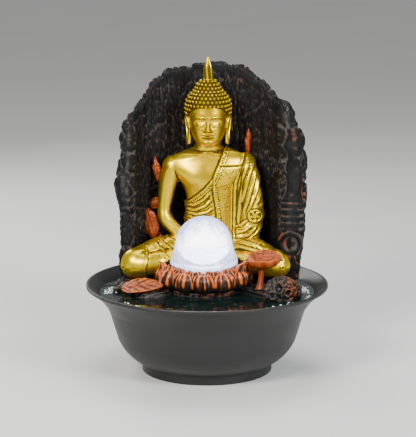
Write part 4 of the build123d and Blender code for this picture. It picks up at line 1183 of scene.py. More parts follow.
    # arm ornament: a rimmed disc with a spiral
    mx, mz = r["medallion"]
    reach = np.hypot(x - mx, z - mz)
    onDisc = front * smoothStep(reach, r["medallionSize"] + 0.6, r["medallionSize"] - 0.4)
    swirl = 0.9 * np.cos(5 * np.arctan2(z - mz, x - mx) + 0.5 * reach) + 1.6 * bump(reach, 1.2)
    lift = (
        lift * (1 - 0.8 * onDisc)
        + onDisc
        * (1.9 + 0.45 * swirl * bump(reach - 3.2, 2.4) + 0.8 * bump(reach - r["medallionSize"] + 0.7, 0.6))
    )
    trim = covered * front * smoothStep(x, 36, 39) * bump(z - 190 + 0.25 * (x - 36), 5.5)
    lift = lift + trim * 0.55 * np.abs(np.sin(x * 1.25)) * np.abs(np.sin(z * 1.25))
    hem = covered * smoothStep(x, 24, 28) * smoothStep(y, 58, 50)
    lift = (
        lift
        + hem * (0.7 * bump(z - 118.5 - 0.12 * (x - 38), 0.7) - 0.45 * bump(z - 120.3 - 0.12 * (x - 38), 0.6))
    )
    points = points + normals * lift[:, None]
    points = clearOfNeighbours(points)
    return makePiece(
        "figure_upper_body", points, faces, "sculpture", goldPaint, ["figure_body"],
        hollowness(points, faces, 4, 0.085), weld=False,
    )


def buildLegs():
    cx, shells = 1.0, []
    for side, out, knee, wide in ((-1, 68.5, 99.0, 1.03), (1, 66.0, 97.5, 0.93)):
        shells.append(sweptShell(
            [(cx + side * 12, 57, 103), (cx + side * 26, 48, 104), (cx + side * 44, 34, 104),
                (cx + side * (out - 8.5), 21, knee + 2),
             (cx + side * out, 14, knee)],
            np.array([18, 18, 16.5, 14.6, 13.6]) * wide, np.array([18, 17.5, 16.3, 14.6, 13.8]) * wide,
            up=(0, 0, 1), around=56, stations=80))  # fmt: skip
        shells.append(sweptShell(
            [(cx + side * (out + 1), 13.5, knee - 0.5), (cx + side * (out - 8), 10, knee),
                (cx + side * 50, 9.5, knee + 1.2),
             (cx + side * 38, 16, knee + 3.0), (cx + side * 24, 33, knee + 5)],
            np.array([12.8, 11.8, 10.4, 9.6, 8.0]) * wide, np.array([12.8, 11.6, 10.2, 9.4, 7.0]) * wide,
            up=(0, 0, 1), around=48, stations=80))  # fmt: skip
    shells.append(ballShell((cx, 58, 99), (34, 20, 18)))
    points, faces = fuseShapes(shells, 0.7, 5)
    normals = pointNormals(points, faces)
    x, y, z = points.T
    front = smoothStep(-normals[:, 1], -0.75, 0.1)
    upward = smoothStep(normals[:, 2], -0.2, 0.35)
    lift = foldRelief(x, z, legFolds, 1.2, 1.15) * front * upward
    # the cloth ends in a corded hem round the left shin
    hemLine = x + 57.5 - 1.1 * np.sin((z - 100) / 4.2)
    shin = smoothStep(y, 22, 17) * smoothStep(x, -44, -48) * smoothStep(z, 115, 112)
    lift = (
        lift
        + front * shin * (0.9 * smoothStep(hemLine, 0.5, -0.3) + 0.5 * bump(hemLine + 0.8, 0.5)
            - 0.35 * bump(hemLine - 0.6, 0.5))
    )
    # woven flowers over the thighs, one flower on each knee
    cell = 9.5
    u, v = (x * 0.85 + y * 0.55) / cell, (y * 0.85 - x * 0.3) / cell
    du, dv = (u - np.floor(u) - 0.5) * cell, (v - np.floor(v) - 0.5) * cell
    flower = np.hypot(du, dv) / (1 + 0.22 * np.cos(5 * np.arctan2(dv, du)))
    onThigh = (
        upward * smoothStep(y, 14, 20) * smoothStep(np.abs(x), 36, 44) * smoothStep(normals[:, 2], 0.3, 0.6)
    )
    lift = lift + onThigh * 0.45 * (bump(flower - 2.6, 0.8) + bump(flower, 0.9))
    for kx, kz in ((-79, 97), (72.5, 97)):
        r = np.hypot(x - kx, z - kz)
        star = r / (1 + 0.3 * np.cos(5 * np.arctan2(z - kz, x - kx)))
        lift = lift + front * smoothStep(r, 5, 4) * 0.5 * (bump(star - 1.9, 0.5) - bump(star, 0.7))
    points = points + normals * lift[:, None]
    points[:, 2] = np.maximum(points[:, 2], deckTop + 0.15)
    points = clearOfNeighbours(points)
    return makePiece(
        "figure_legs", points, faces, "sculpture", goldPaint,
        hollowAndShade=hollowness(points, faces, 4, 0.085), weld=False,
    )


head = {
    "x": 1.0, "y": 50.5, "chin": 210.5, "hairline": 246.0, "crown": 258.0, "columns": 380, "rows": 255,
    # height, half width, reach forward, reach back
    "skull": [(205.5, 6, 9, 8), (208, 9.5, 13.5, 9.5), (210.5, 11.5, 16.0, 10.5), (214, 13.8, 17.2, 12),
        (219, 15.8, 17.6, 14),
              (226, 17.4, 17.9, 17), (233, 18.6, 18.2, 19.5), (240, 19.2, 18.6, 20.5),
              (247, 18.8, 18.0, 20.5),
              (253, 16.2, 15.6, 18), (258, 11.5, 11.5, 13), (261, 5.5, 6, 6.5)],
}  # fmt: skip


def faceRelief(x, z, h):
    # how far the face comes forward at x across and z up: plain proportions, thirds from chin to hairline
    third = (h["hairline"] - h["chin"]) / 3
    noseBase, brow = h["chin"] + third, h["chin"] + 2 * third
    eye, mouth = brow - 0.30 * third, h["chin"] + 0.66 * third
    ax = np.abs(x)
    out = -1.5 * bump(np.hypot((ax - 7.2) / 1.7, z - eye), 3.0)
    # nose: a narrow bridge that widens and rises to the tip, wings beside it
    down = np.clip((brow - 0.3 - z) / (brow - noseBase - 1.6), 0, 1)
    under = smoothStep(z, noseBase - 0.4, noseBase + 1.7)
    ridge = (1.0 + 3.9 * down**1.25) * under * smoothStep(z, brow + 3.0, brow - 1.0)
    out = out + ridge * bump(x, 1.75 + 1.15 * down**2)
    out = out + 1.9 * bump(np.hypot(ax - 3.0, (z - noseBase - 1.2) * 1.1), 1.45)
    out = out - 0.7 * bump(np.hypot(ax - 1.7, (z - noseBase + 0.3) * 1.6), 0.8)
    # brows: one long arc each, sharp above the socket
    arc = brow + 1.9 - 0.036 * (ax - 7.0) ** 2
    out = out + 0.95 * bump(z - arc, 0.85) * smoothStep(ax, 0.8, 3.0) * smoothStep(ax, 15.0, 11.5)
    out = (
        out
        + 0.5 * smoothStep(z, arc - 0.4, arc + 0.8) * smoothStep(z, arc + 8, arc + 3) * smoothStep(ax, 15, 11)
    )
    # eyes: a full lid, lowered; the opening is a thin curved slit with a rim above and below
    lid = 1 - np.clip((np.abs(ax - 7.2) / 4.5), 0, 1) ** 2
    slit = eye - 1.35 - 0.55 * lid
    out = out + 1.75 * np.sqrt(lid) * bump(z - eye + 0.3, 2.1)
    out = (
        out
        + lid**0.7 * (0.35 * bump(z - slit - 0.65, 0.40) - 0.85 * bump(z - slit, 0.30)
            + 0.30 * bump(z - slit + 0.65, 0.40))
    )
    out = out - 0.35 * lid**0.7 * bump(z - eye - 2.1, 0.4)
    # cheeks, then the mouth: two full lips, corners a touch up, and a shallow groove above
    out = out + 0.9 * bump(np.hypot((ax - 9.0) / 1.1, z - noseBase - 1.5), 5.0)
    line = mouth + 0.022 * ax**2
    half = np.sqrt(np.clip(1 - (ax / 5.6) ** 2, 0, 1))
    bow = 0.45 * bump(ax - 1.3, 1.0)
    out = out + half * (1.55 * bump(z - line - 1.15, 1.05 + bow * 0.4) + 1.75 * bump(z - line + 1.35, 1.25))
    out = out - 1.05 * half**0.5 * bump(z - line, 0.34)
    out = out - 0.5 * bump(np.hypot(ax - 6.0, z - line - 0.3), 0.9)
    out = (
        out
        - 0.35 * bump(x, 0.8) * smoothStep(z, mouth + 2.2, mouth + 3.0)
        * smoothStep(z, noseBase, noseBase - 0.8)
    )
    out = out - 0.7 * bump(z - mouth + 3.7, 1.0) * bump(x, 4.0)
    out = out + 1.7 * bump(np.hypot(x / 1.6, z - h["chin"] - 2.6), 3.0)
    # a small round mark between the brows
    out = out + 0.65 * bump(np.hypot(x, z - brow - 2.6), 0.85)
    return out


def buildHead(h):
    # columns are closer together at the front, by half of a sine
    u = np.linspace(-1, 1, h["columns"], endpoint=False)
    angle = np.pi * (u - 0.20 * np.sin(np.pi * u))
    z = np.linspace(h["skull"][0][0], h["skull"][-1][0], h["rows"])
    keys = np.array(h["skull"], float)
    wide, forward, back = (curveThrough(keys[:, 0], keys[:, k], z) for k in (1, 2, 3))
    ends = np.sqrt(np.clip(1 - ((z - z[0]) / 3.0 - 1) ** 2 * (z < z[0] + 3), 0, 1)) * np.sqrt(
        np.clip(1 - ((z[-1] - z) / 3.0 - 1) ** 2 * (z > z[-1] - 3), 0, 1)
    )
    wide, forward, back = wide * ends, forward * ends, back * ends
    flatter = np.abs(np.sin(angle)) ** 0.94 * np.sign(np.sin(angle))
    x = wide[:, None] * flatter
    y = -np.where(np.abs(angle) < np.pi / 2, forward[:, None], back[:, None]) * np.cos(angle)
    zz = np.broadcast_to(z[:, None], x.shape)
    facing = smoothStep(np.cos(angle), 0.05, 0.45)
    y = y - faceRelief(x, zz, h) * facing * smoothStep(zz, 207, 210)
    points = np.stack([h["x"] + x, h["y"] + y, zz], -1).reshape(-1, 3)
    faces = gridFaces(h["rows"], h["columns"], wrapColumns=True)
    hollowAndShade = np.clip(hollowness(points, faces, 4, 0.09), -0.6, 0.85)
    return makePiece(
        "figure_face", points, faces, "sculpture", goldPaint, ["figure_head"], hollowAndShade
    )


def buildEars(h):
    shells = []
    for side in (-1, 1):
        def at(x, y, z):
            return (h["x"] + side * x, y, z)
        rim = [
            at(18.0, 46.5, 226), at(19.0, 47, 231.5), at(20.2, 49.5, 235.5), at(21.2, 53, 236),
            at(21.5, 55.5, 232.5),
            at(21.0, 55.8, 227), at(20.0, 53.6, 220), at(19.4, 51.6, 213.5), at(18.9, 49.6, 210.6),
            at(18.3, 47.9, 212), at(17.8, 47.2, 218),
        ]  # fmt: skip
        shells.append(sweptShell(
            rim, [1.15, 1.2, 1.3, 1.35, 1.3, 1.25, 1.3, 1.6, 1.8, 1.6, 1.2],
            [1.3, 1.3, 1.4, 1.4, 1.4, 1.3, 1.4, 1.7, 1.9, 1.7, 1.3],
            up=(side, 0.15, 0.1), around=20, stations=90))  # fmt: skip
        shells.append(sweptShell(
            [at(18.2, 51.5, 234), at(18.2, 51.5, 226), at(18.2, 50.0, 218), at(18.3, 49.6, 212)],
            [4.0, 4.0, 3.0, 1.8], [1.3, 1.2, 1.0, 1.0], up=(side, 0, 0), around=24, stations=40))  # fmt: skip
        shells.append(sweptShell(
            [at(19.4, 52.5, 232), at(19.4, 52.2, 228), at(19.0, 50.3, 224)],
            [1.0, 1.0, 0.9], [1.0, 1.0, 0.9], up=(side, 0, 0), around=14, stations=24))  # fmt: skip
    points, faces = fuseShapes(shells, 0.45, 3)
    return makePiece(
        "figure_ears", points, faces, "sculpture", goldPaint,
        hollowAndShade=hollowness(points, faces, 4, 0.10), weld=False,
    )


hair = {
    "rowStep": 3.8, "curlStep": 4.1, "curlSize": 2.0, "steps": 14, "sides": 5,
    # outline of the hair, height then half width; the back reaches a little further
    "outline": [(214, 15.5), (220, 18.5), (228, 20.6), (236, 21.6), (243, 22.2), (248, 22.0), (252, 21.0),
        (256, 18.6),
                (259, 15.6), (262, 13.2), (266, 11.2), (269, 8.9), (271, 5.0), (271.8, 0.6)],
}  # fmt: skip


def hairSurface(height, angle, p, inset=0.0):
    # angle 0 faces the front; the outline is turned about the head's axis
    radius = tableAt(p["outline"], height) - inset
    return np.stack(
        [head["x"] + radius * np.sin(angle), head["y"] + 0.8 - radius * np.cos(angle), height + 0 * angle], -1
    )


def hairlineHeight(angle):
    # high and level over the brow, down in front of the ear, low at the nape
    turn = np.abs((angle + np.pi) % (2 * np.pi) - np.pi)
    return curveThrough(
        [0, 0.55, 0.95, 1.22, 1.55, 2.1, 3.15], [246.6, 245.2, 241.5, 237.8, 236.0, 219.0, 215.5], turn
    )


def buildHair(p):
    angle = turnAngles(200)
    share = np.linspace(0, 1, 90)[:, None]
    low = hairlineHeight(angle) - 0.5
    height = low + (p["outline"][-1][0] - 0.4 - low) * share
    inset = 1.3 + 2.0 * (1 - smoothStep(share, 0, 0.04))
    cap = hairSurface(height, np.broadcast_to(angle, height.shape), p, inset)
    cap = cap.reshape(-1, 3)
    capFaces = gridFaces(90, 200, wrapColumns=True)
    # curls stand in rows up the outline; each is a tube wound inward and outward from the head
    fine = np.linspace(p["outline"][0][0], p["outline"][-1][0], 900)
    radius = tableAt(p["outline"], fine)
    walk = np.concatenate([[0], np.cumsum(np.hypot(np.diff(fine), np.diff(radius)))])
    rows = np.arange(0.6, walk[-1], p["rowStep"])
    rowHeight = np.interp(rows, walk, fine)
    rowRadius = np.interp(rows, walk, radius)
    spots = []
    for number, (z, r) in enumerate(zip(rowHeight, rowRadius)):
        count = max(int(round(2 * np.pi * max(r, 0.7) / p["curlStep"])), 1)
        turn = (np.arange(count) + 0.5 * (number % 2)) * 2 * np.pi / count
        keep = z > hairlineHeight(turn) + 0.4
        spots.append(np.stack([np.full(keep.sum(), z), turn[keep]], -1))
    spots = np.concatenate(spots)
    centre = hairSurface(spots[:, 0], spots[:, 1], p, 1.1)
    e = 0.3
    up = hairSurface(spots[:, 0] + e, spots[:, 1], p, 1.1) - hairSurface(spots[:, 0] - e, spots[:, 1], p, 1.1)
    side = (
        hairSurface(spots[:, 0], spots[:, 1] + 0.02, p, 1.1)
        - hairSurface(spots[:, 0], spots[:, 1] - 0.02, p, 1.1)
    )
    up /= np.linalg.norm(up, axis=1, keepdims=True)
    side /= np.maximum(np.linalg.norm(side, axis=1, keepdims=True), 1e-9)
    out = np.cross(side, up)
    out /= np.linalg.norm(out, axis=1, keepdims=True)
    s = np.linspace(0, 1, p["steps"])
    wind = 2 * np.pi * 1.75 * s
    ring = p["curlSize"] * 0.66 * (1 - s) ** 0.8
    rise = 1.75 * s**0.9
    thick = 0.78 - 0.22 * s
    thick[-1] = 0.05
    thick[0] = 0.05
    turn = turnAngles(p["sides"])
    radial = ring[:, None] + thick[:, None] * np.cos(turn)
    along = rise[:, None] + thick[:, None] * np.sin(turn)
    local = np.stack([radial * np.cos(wind)[:, None], radial * np.sin(wind)[:, None], along], -1).reshape(
        -1, 3
    )
    curls = (
        centre[:, None]
        + local[None, :, 0:1] * side[:, None]
        + local[None, :, 1:2] * up[:, None]
        + local[None, :, 2:3] * out[:, None]
    )
    one = gridFaces(p["steps"], p["sides"], wrapColumns=True)
    every = (one[None] + (np.arange(len(spots)) * len(local))[:, None, None]).reshape(-1, 4)
    points, faces = joinShapes([(cap, capFaces), (curls.reshape(-1, 3), every)])
    # painted shade: the cap under the curls takes the full dark wash, and each curl is dark at its foot,
    # where the curls shade one another, and brushed toward its tip
    shade = np.clip(1.0 - rise / 1.1, -0.45, 1.0)
    hollowAndShade = np.concatenate([np.full(len(cap), 1.0), np.tile(np.repeat(shade, p["sides"]), len(spots))])
    return makePiece("figure_hair", points, faces, "sculpture", goldPaint, hollowAndShade=hollowAndShade)


flame = {
    "outline": [(267.0, 5.2), (270.5, 5.3), (272, 4.5), (276, 4.5), (280, 4.4), (283.5, 4.1), (287, 3.0),
        (290.5, 1.7),
                (293, 0.7), (294.2, 0.05)],
    "lobes": 6, "twist": 0.03, "depth": 0.085,
}  # fmt: skip


def buildFlame(p):
    # radius of the outline, times 1 + depth * cos(lobes * angle + twist * height)
    z = np.linspace(p["outline"][0][0], p["outline"][-1][0], 130)
    radius = tableAt(p["outline"], z)
    a = turnAngles(80)
    wave = np.abs(np.cos(p["lobes"] * a / 2 + p["twist"] * (z[:, None] - z[0]) * 2))
    r = radius[:, None] * (1 - p["depth"] + 2 * p["depth"] * (wave - 0.35))
    points = polarPoints((head["x"], head["y"] + 0.6), r, a, z[:, None]).reshape(-1, 3)
    faces = gridFaces(len(z), 80, wrapColumns=True)
    return makePiece(
        "figure_flame", points, faces, "sculpture", goldPaint, ["figure_finial"],
        hollowness(points, faces, 6, 0.12),
    )


buildUpperBody(robe)
buildLegs()
buildHead(head)
buildEars(head)
buildHair(hair)
buildFlame(flame)
print("stage 6: figure")


def leafShell(middle, thickness, relief=None):
    # middle: rows x columns x 3 points; front and back faces meet in a thin edge all round
    rows, columns = middle.shape[:2]
    flat = middle.reshape(-1, 3)
    faces = gridFaces(rows, columns)
    normals = pointNormals(flat, faces).reshape(middle.shape)
    s = np.linspace(0, 1, rows)[:, None]
    t = np.linspace(-1, 1, columns)
    body = thickness / 2 * (1 - t**8) * np.clip(1 - (2 * s - 1) ** 10, 0, 1)
    front = middle + normals * (body + (relief if relief is not None else 0) * (body > 1e-6))[..., None]
    back = middle - normals * body[..., None]
    points = np.concatenate([front, back[::-1]])
    return points.reshape(-1, 3), gridFaces(2 * rows, columns, wrapRows=True)


lotus = {
    "cup": [(5.2, 80.3), (33.5, 80.3), (36.2, 83), (37.0, 88), (36.8, 95), (35.6, 97.4), (33.4, 97.2),
        (32.2, 95),
            (31.9, 88), (31.7, 84), (30.4, 82.6), (5.2, 82.6)],
    # rows of petals: angles, half width, profile of radius and height
    "rows": [
        ([-176, -147, -118.5, -90, -61.5, -33, -4], 11.8,
         [(37.4, 80.2), (42.4, 82.4), (45.6, 87.0), (45.8, 92.0), (43.4, 96.0), (39.6, 98.2)]),
        ([-162, -133, -104, -76, -47, -18], 8.6,
         [(37.4, 84.0), (40.6, 88), (41.4, 93), (40.4, 97.0), (38.2, 99.6), (35.6, 100.8)]),
        ([-196, -172, -26, -12, 3, 20], 6.4,
         [(38.0, 84.0), (41.6, 88), (43.0, 94), (42.6, 99.5), (42.4, 103.0), (43.6, 105.4)]),
    ],
    # per row, how much orange the petals get; the second row gets less, as painted shade between the front
    # petals
    "thickness": 1.4, "ribs": 5.0, "rowPaintAndShade": (1.15, 0.7, 0.95),
}  # fmt: skip


def buildCup(p):
    profile = np.array(p["cup"], float)
    a = turnAngles(140)
    points = polarPoints(ballCentre, profile[:, :1], a, profile[:, 1:])
    faces = gridFaces(len(profile), len(a), wrapRows=True, wrapColumns=True)
    # darker on the outside
    hollowAndShade = np.repeat(np.where(profile[:, 0] > 34, 0.5, 0.1), len(a))
    return makePiece(
        "lotus_body", points.reshape(-1, 3), faces, "sculpture", petalPaint, ["lotus_cup"],
        hollowAndShade
    )


def buildPetals(p):
    rows, columns = 34, 46
    s = np.linspace(0, 1, rows)[:, None]
    t = np.linspace(-1, 1, columns)
    shapes, hollows = [], []
    for ring, (angles, halfWidth, profile) in enumerate(p["rows"]):
        profile = np.array(profile, float)
        keys = np.linspace(0, 1, len(profile))
        for number, facing in enumerate(angles):
            seed = 301 + 31 * ring + number
            own = np.random.default_rng(seed)
            half = halfWidth * own.uniform(0.93, 1.06)
            # a scoop: its ribs meet at the round top, part over the middle and close a little at the foot
            reach = s * own.uniform(0.95, 1.02)
            width = half * np.where(
                s < 0.45, 0.70 + 0.30 * np.sin(np.pi * s / 0.9),
                np.sqrt(np.clip(1 - ((s - 0.45) / 0.55) ** 2, 0.0004, 1))
            )
            r = curveThrough(keys, profile[:, 0], reach) - 7.0 * np.abs(t) ** 2.3 * (width / half)
            z = curveThrough(keys, profile[:, 1], reach) + own.uniform(-0.6, 0.6) * s
            angle = np.radians(facing + own.uniform(-1.5, 1.5)) + width * t / np.maximum(r, 30)
            r = r + 0.5 * np.sin(3.2 * t + own.uniform(0, 6)) * s * (1 - s) * 2
            middle = polarPoints(ballCentre, r, angle, z)
            phase = own.uniform(0, 6)
            spread = t + 0.10 * np.sin(5 * t + phase)
            ribs = np.cos(np.pi * p["ribs"] * spread + 0.9 * np.sin(4 * s + phase))
            ribs = ribs * (0.65 + 0.35 * np.sin(9 * s + 7 * t + phase))
            edge = (
                smoothStep(np.abs(t), 0.76, 0.86) * smoothStep(np.abs(t), 1.0, 0.93)
                * smoothStep(s, 0.18, 0.4)
            )
            relief = 0.9 * ribs * smoothStep(s, 0.05, 0.3) * smoothStep(s, 1.0, 0.8) * (1 - edge)
            relief = relief + 1.3 * edge * (1 - np.abs(t) ** 9) * smoothStep(s, 1.0, 0.9)
            # both sides of the sheet carry the ribs; the outer side faces away from the ball
            points, faces = leafShell(middle[:, ::-1], p["thickness"], relief[:, ::-1])
            # dark between the ribs; painted shade at the foot, along the outer sides where the petals meet
            # and on the second row, which gets less orange; paint on the rib crests, the rim and the rounded
            # top
            lines = np.clip(ribs * 1.6 + 0.05, 0, 1)
            tone = 0.5 - p["rowPaintAndShade"][ring] * (
                1.25 * lines * smoothStep(s, 0.22, 0.5)
                + 1.0 * smoothStep(s, 0.5, 0.85) * (0.45 + 0.55 * lines)
            )
            tone = tone - 1.5 * edge * smoothStep(s, 0.2, 0.45) + 0.4 * (1 - smoothStep(s, 0.15, 0.4))
            tone = tone + 1.2 * smoothStep(np.abs(t), 0.93, 1.0) * smoothStep(s, 0.9, 0.7)
            tone = np.clip(tone, -1, 1)
            tone = tone[:, ::-1]
            shapes.append((points, faces))
            hollows.append(np.concatenate([tone, tone[::-1]]).reshape(-1))
    points, faces = joinShapes(shapes)
    return makePiece(
        "lotus_petals", points, faces, "sculpture", petalPaint, hollowAndShade=np.concatenate(hollows)
    )


film = {
    # outside of the water as it runs off the ball and over the dish's lip: radius, height
    "outside": [(27.1, 121.5), (27.9, 117.5), (28.9, 114.0), (30.2, 110), (31.5, 106), (32.4, 103.4),
        (32.3, 101.4)],
    "floor": 101.0, "gap": 0.12, "ripple": 0.16,
}  # fmt: skip


def buildFilm(p):
    # outside profile, then back to the ball under the water, then up the ball's own curve
    keys = np.array(p["outside"], float)
    s = np.linspace(0, 1, 60)
    stations = np.linspace(0, 1, len(keys))
    outR, outZ = curveThrough(stations, keys[:, 0], s), curveThrough(stations, keys[:, 1], s)
    inZ = np.linspace(p["floor"], keys[0, 1], 50)
    inR = np.sqrt((ballRadius + p["gap"]) ** 2 - (inZ - ballCentre[2]) ** 2)
    r, z = np.concatenate([outR, inR]), np.concatenate([outZ, inZ])
    a = turnAngles(160)
    drift = np.concatenate([np.sin(np.pi * s), np.zeros(50)])[:, None]
    wave = np.sin(11 * a + 1.5 * np.sin(3 * a)) + 0.6 * np.sin(23 * a + 0.35 * z[:, None])
    rr = r[:, None] + p["ripple"] * drift * wave
    points = polarPoints(ballCentre, rr, a, z[:, None])
    faces = gridFaces(len(r), len(a), wrapRows=True, wrapColumns=True)
    return makePiece("dish_water", points.reshape(-1, 3), faces, "sculpture", glowingWater)


buildCup(lotus)
buildPetals(lotus)
buildFilm(film)
print("stage 7: lotus")

leaves = {
    # node: shift from its place, length, half width, plumpness, tilt, half width along the length
    "bud_left": ((0, 0, -3), 25, 4.2, 3.2, -6.0, [(0, 0.35), (0.25, 0.9), (0.5, 1), (0.8, 0.55), (1, 0.0)]),
    "bud_right": ((1.5, 0, -2), 27, 3.3, 3.0, 0.0, [(0, 0.2), (0.3, 0.8), (0.55, 1), (0.8, 0.5), (1, 0.0)]),
    "leaf_upper": ((-3, -1, -9), 14, 5.6, 2.8, 30.0,
        [(0, 0.5), (0.3, 0.95), (0.6, 1), (0.85, 0.75), (1, 0.25)]),
    "leaf_lower": ((-4, -1, -5), 31, 9.4, 2.4, -14.0,
        [(0, 0.35), (0.2, 0.8), (0.5, 1), (0.8, 0.95), (1, 0.3)]),
}  # fmt: skip
extraLeaves = {
    # a second tip beside the left bud and a small leaf under the large one: place, then as above
    "tip_left": ((-47.0, 60.0, 179.5), 13, 2.6, 2.2, 8.0, [(0, 0.3), (0.4, 1), (0.75, 0.7), (1, 0.0)]),
    "leaf_small": ((-47.5, 58.0, 117.0), 11, 3.8, 2.0, -35.0, [(0, 0.3), (0.4, 1), (0.8, 0.8), (1, 0.2)]),
}  # fmt: skip


def leafPoints(centre, length, half, plump, tilt, outline, seed, stand=0.0):
    # a sheet bowed out over its middle, creased along the midrib, set against the wall's slope
    rows, columns = 70, 44
    s = np.linspace(0, 1, rows)[:, None]
    t = np.linspace(-1, 1, columns)
    width = half * tableAt(outline, s)
    own = np.random.default_rng(seed)
    sway = half * 0.16 * np.sin(np.pi * s * own.uniform(0.8, 1.3) + own.uniform(0, 6)) * s
    across = width * t + sway - sway.mean()
    up = (s - 0.5) * length + 0.10 * length * t**2 * (0.5 - s)
    out = plump * (1 - t**2) * np.sin(np.pi * np.clip(s, 0.02, 0.98)) ** 0.6
    out = out + 0.8 * np.sin(2.6 * s * np.pi + own.uniform(0, 6)) * t + stand
    a = np.radians(tilt)
    x = across * np.cos(a) + up * np.sin(a)
    z = -across * np.sin(a) + up * np.cos(a)
    # the wall runs back toward the middle, so the sheet turns with it
    turn = np.arctan2(
        centre[0] / grotto["innerWidth"] ** 2,
        (centre[1] - grotto["frontY"]) / grotto["innerDepth"] ** 2 + 0.004
    )
    yaw = -turn * 0.75
    middle = np.stack(
        [centre[0] + x * np.cos(yaw) - out * np.sin(yaw), centre[1] - x * np.sin(yaw) - out * np.cos(yaw),
            centre[2] + z],
        -1
    )
    veins = np.cos(14 * (s * 1.4 - np.abs(t) * 0.5) + own.uniform(0, 6)) * smoothStep(np.abs(t), 0.05, 0.2)
    rib = bump(t, 0.10)
    edge = smoothStep(np.abs(t), 0.75, 0.95)
    relief = 0.30 * rib + 0.10 * veins - 0.15 * bump(np.abs(t) - 0.2, 0.08)
    near, far = cellNoise(middle, 7.0, seed)
    relief = relief + 0.30 * layeredNoise(middle, 4.0, 2, seed) + 0.8 * (1 - near) - 0.4
    points, faces = leafShell(middle[:, ::-1], 1.5, relief[:, ::-1])
    tone = (
        -0.35 * rib - 0.15 * np.clip(veins, 0, 1) * (1 - edge) + 0.35 * edge + 0.55 * bump(far - near, 0.08)
        - 0.1
    )
    tone = tone[:, ::-1]
    return points, faces, np.concatenate([tone, tone[::-1]]).reshape(-1)


def buildLeaves():
    for number, (node, spec) in enumerate(leaves.items()):
        low, high = nodeBox(node)
        centre = (low + high) / 2 + np.array(spec[0])
        points, faces, hollowAndShade = leafPoints(centre, *spec[1:], 401 + number)
        makePiece("carved_" + node, points, faces, "sculpture", leafPaint, [node], hollowAndShade)
    for number, (name, spec) in enumerate(extraLeaves.items()):
        points, faces, hollowAndShade = leafPoints(np.array(spec[0]), *spec[1:], 431 + number)
        makePiece("carved_" + name, points, faces, "sculpture", leafPaint, hollowAndShade=hollowAndShade)


pads = {
    "left": {"centre": (-60.5, -21), "half": (19.5, 13.0), "height": 82.4, "rise": 7.5, "lean": 2.0,
        "thick": 1.8},
    "right": {"centre": (54.0, -9), "half": (14.6, 10.5), "height": 110.5, "tilt": 24.0, "thick": 6.5},
}


def buildLeftPad(p):
    # a pointed leaf lying on the ledge, its far side and its right end raised, the sheet crinkled
    rows, columns = 90, 70
    s = np.linspace(0, 1, rows)[:, None]
    t = np.linspace(-1, 1, columns)
    width = p["half"][1] * np.sin(np.pi * np.clip(s, 0, 1) ** 0.62) ** 0.75
    x = p["centre"][0] + (2 * s - 1) * p["half"][0] + 0 * t
    y = p["centre"][1] + width * t - 3.5 * (1 - s) + 0 * x
    z = p["height"] + p["rise"] * (0.5 + 0.5 * t) ** 1.3 * np.sin(np.pi * s) ** 0.5 + p["lean"] * s**2
    z = z + 0.9 * np.abs(np.sin(6.5 * s * np.pi + 3 * t)) * (1 - np.abs(t)) ** 0.5
    middle = np.stack([x, y, z], -1)
    rib = bump(t, 0.07)
    veins = np.cos(26 * (s - 0.35 * np.abs(t)))
    relief = 0.6 * rib + 0.25 * veins + 0.35 * layeredNoise(middle, 4, 2, 451)
    points, faces = leafShell(middle, p["thick"], relief)
    edge = smoothStep(np.abs(t), 0.8, 0.95)
    tone = (
        np.clip(0.75 * np.clip(-veins, 0, 1) - 0.5 * np.clip(veins, 0, 1) - 0.7 * edge - 0.4 * rib, -1, 1)
        + 0 * s
    )
    hollowAndShade = np.concatenate([tone, tone[::-1]]).reshape(-1)
    stalk, stalkFaces = sweptShell(
        [(-43.5, -22, 84), (-44.2, -20, 88.5), (-44.0, -17, 93.5), (-42.5, -14, 98)], [1.5, 1.3, 1.3, 1.8],
        [1.4, 1.2, 1.1, 1.3],
        up=(0, 1, 0), around=20, stations=40,
    )  # fmt: skip
    tone = np.tile(np.where(np.arange(20) % 5 == 0, 0.6, -0.3), len(stalk) // 20)
    points, faces = joinShapes([(points, faces), (stalk, stalkFaces)])
    return makePiece(
        "carved_pad_left", points, faces, "sculpture", leafPaint, ["pad_left"],
        np.concatenate([hollowAndShade, tone]),
    )


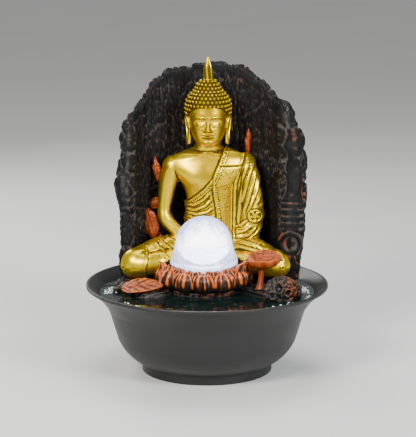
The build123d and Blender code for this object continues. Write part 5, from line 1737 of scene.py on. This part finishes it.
def buildRightPad(p):
    # polar slab: crinkled flat top, rolled rim, underside drawn in to the stem
    around, rings = 120, 60
    a = turnAngles(around)
    v = np.linspace(0, 1, rings)[:, None]
    outline = 1 + 0.05 * np.sin(2 * a + 0.6) + 0.035 * np.sin(5 * a + 1.0) + 0.025 * np.sin(9 * a)
    # v to 0.55 is the top, to 0.75 the rim, and the rest the underside
    top, rim = 0.55, 0.75
    bulge = 1 + 0.05 * np.sin((v - top) / (rim - top) * np.pi)
    under = 1 - (np.maximum(v - rim, 0) / (1 - rim)) ** 1.1
    share = np.where(v < top, (v / top) ** 0.9, np.where(v < rim, bulge, under))
    drop = np.interp(v, [0, top, rim, 1], [0, 0, 1, 1.25]) * p["thick"]
    x = p["half"][0] * share * outline * np.cos(a)
    y = p["half"][1] * share * outline * np.sin(a)
    # the rim stands a little proud; the middle is cupped and folded
    z = -drop + 1.3 * smoothStep(v, 0.3, 0.52) * (v < rim) - 0.4
    lean = np.radians(p["tilt"])
    place = np.stack([x, y, z + 0 * x], -1)
    folds = (
        0.55 * ridgeNoise(place * np.array([0.35, 1, 1]) + 3, 4.5, 2, 461)
        + 0.3 * layeredNoise(place, 2.6, 2, 462)
    )
    z = z + folds * np.where(v < 0.6, 1.0, 0.4)
    points = np.stack(
        [p["centre"][0] + x, p["centre"][1] + y * np.cos(lean) - z * np.sin(lean),
            p["height"] + y * np.sin(lean) + z * np.cos(lean)],
        -1
    )
    points = points.reshape(-1, 3)
    faces = gridFaces(rings, around, wrapColumns=True)
    # painted shade on the underside, from the lower rim down; the top is lightly brushed
    hollowAndShade = (
        hollowness(points, faces, 4, 0.14)
        + np.broadcast_to(np.where(v > 0.72, 0.5, -0.12), (rings, around)).reshape(-1)
    )
    stem, stemFaces = sweptShell(
        [(50, -10, 79), (50.3, -9.5, 84), (51.2, -9, 92), (52.4, -9, 105)], [4.8, 3.0, 2.5, 3.0],
        [4.2, 2.8, 2.2, 2.8],
        up=(0, -1, 0), around=28, stations=60,
    )  # fmt: skip
    tone = np.tile(np.cos(np.arange(28) * 2 * np.pi * 6 / 28) * 0.7, len(stem) // 28)
    points, faces = joinShapes([(points, faces), (stem, stemFaces)])
    return makePiece(
        "carved_pad_right", points, faces, "sculpture", leafPaint, ["pad_right"],
        np.concatenate([hollowAndShade, tone]),
    )


stone = {"centre": (69.5, -33, 85), "size": (15.5, 12.5, 12.5)}


def buildStone(p):
    shells = [
        ballShell(p["centre"], p["size"], 60, 40), ballShell((61, -40, 82), (8.5, 7, 8), 40, 30),
        ballShell((81, -27, 82.5), (8.5, 9, 8.5), 40, 30),
    ]  # fmt: skip
    points, faces = fuseShapes(shells, 0.7, 4)
    normals = pointNormals(points, faces)
    near, far = cellNoise(points + 1.2 * valueNoise(points / 5, 471)[:, None], 7.5, 472)
    # round hollows with a raised lip
    pits = 0
    for x, z, r in ((66.5, 88.5, 4.2), (75.5, 84, 3.2), (60.5, 82, 3.0)):
        reach = np.hypot(points[:, 0] - x, (points[:, 2] - z) * 0.9)
        pits = (
            pits
            + smoothStep(-normals[:, 1], 0, 0.4)
            * (0.9 * bump(reach - r, 0.8) - 1.8 * smoothStep(reach, r - 0.2, r - 2.2))
        )
    pushOut = (
        (1 - near) * 1.6 - 0.7 * bump(far - near, 0.12) + 0.5 * layeredNoise(points, 3, 3, 473) + pits - 0.6
    )
    points = points + normals * pushOut[:, None]
    points[:, 2] = np.maximum(points[:, 2], 71.0)
    return makePiece(
        "front_rock", points, faces, "sculpture", rockPaint, ["front_stone"],
        hollowness(points, faces, 4, 0.18), weld=False,
    )


buildLeaves()
buildLeftPad(pads["left"])
buildRightPad(pads["right"])
buildStone(stone)
print("stage 8: leaves, pads and stone")

bpy.context.view_layer.update()
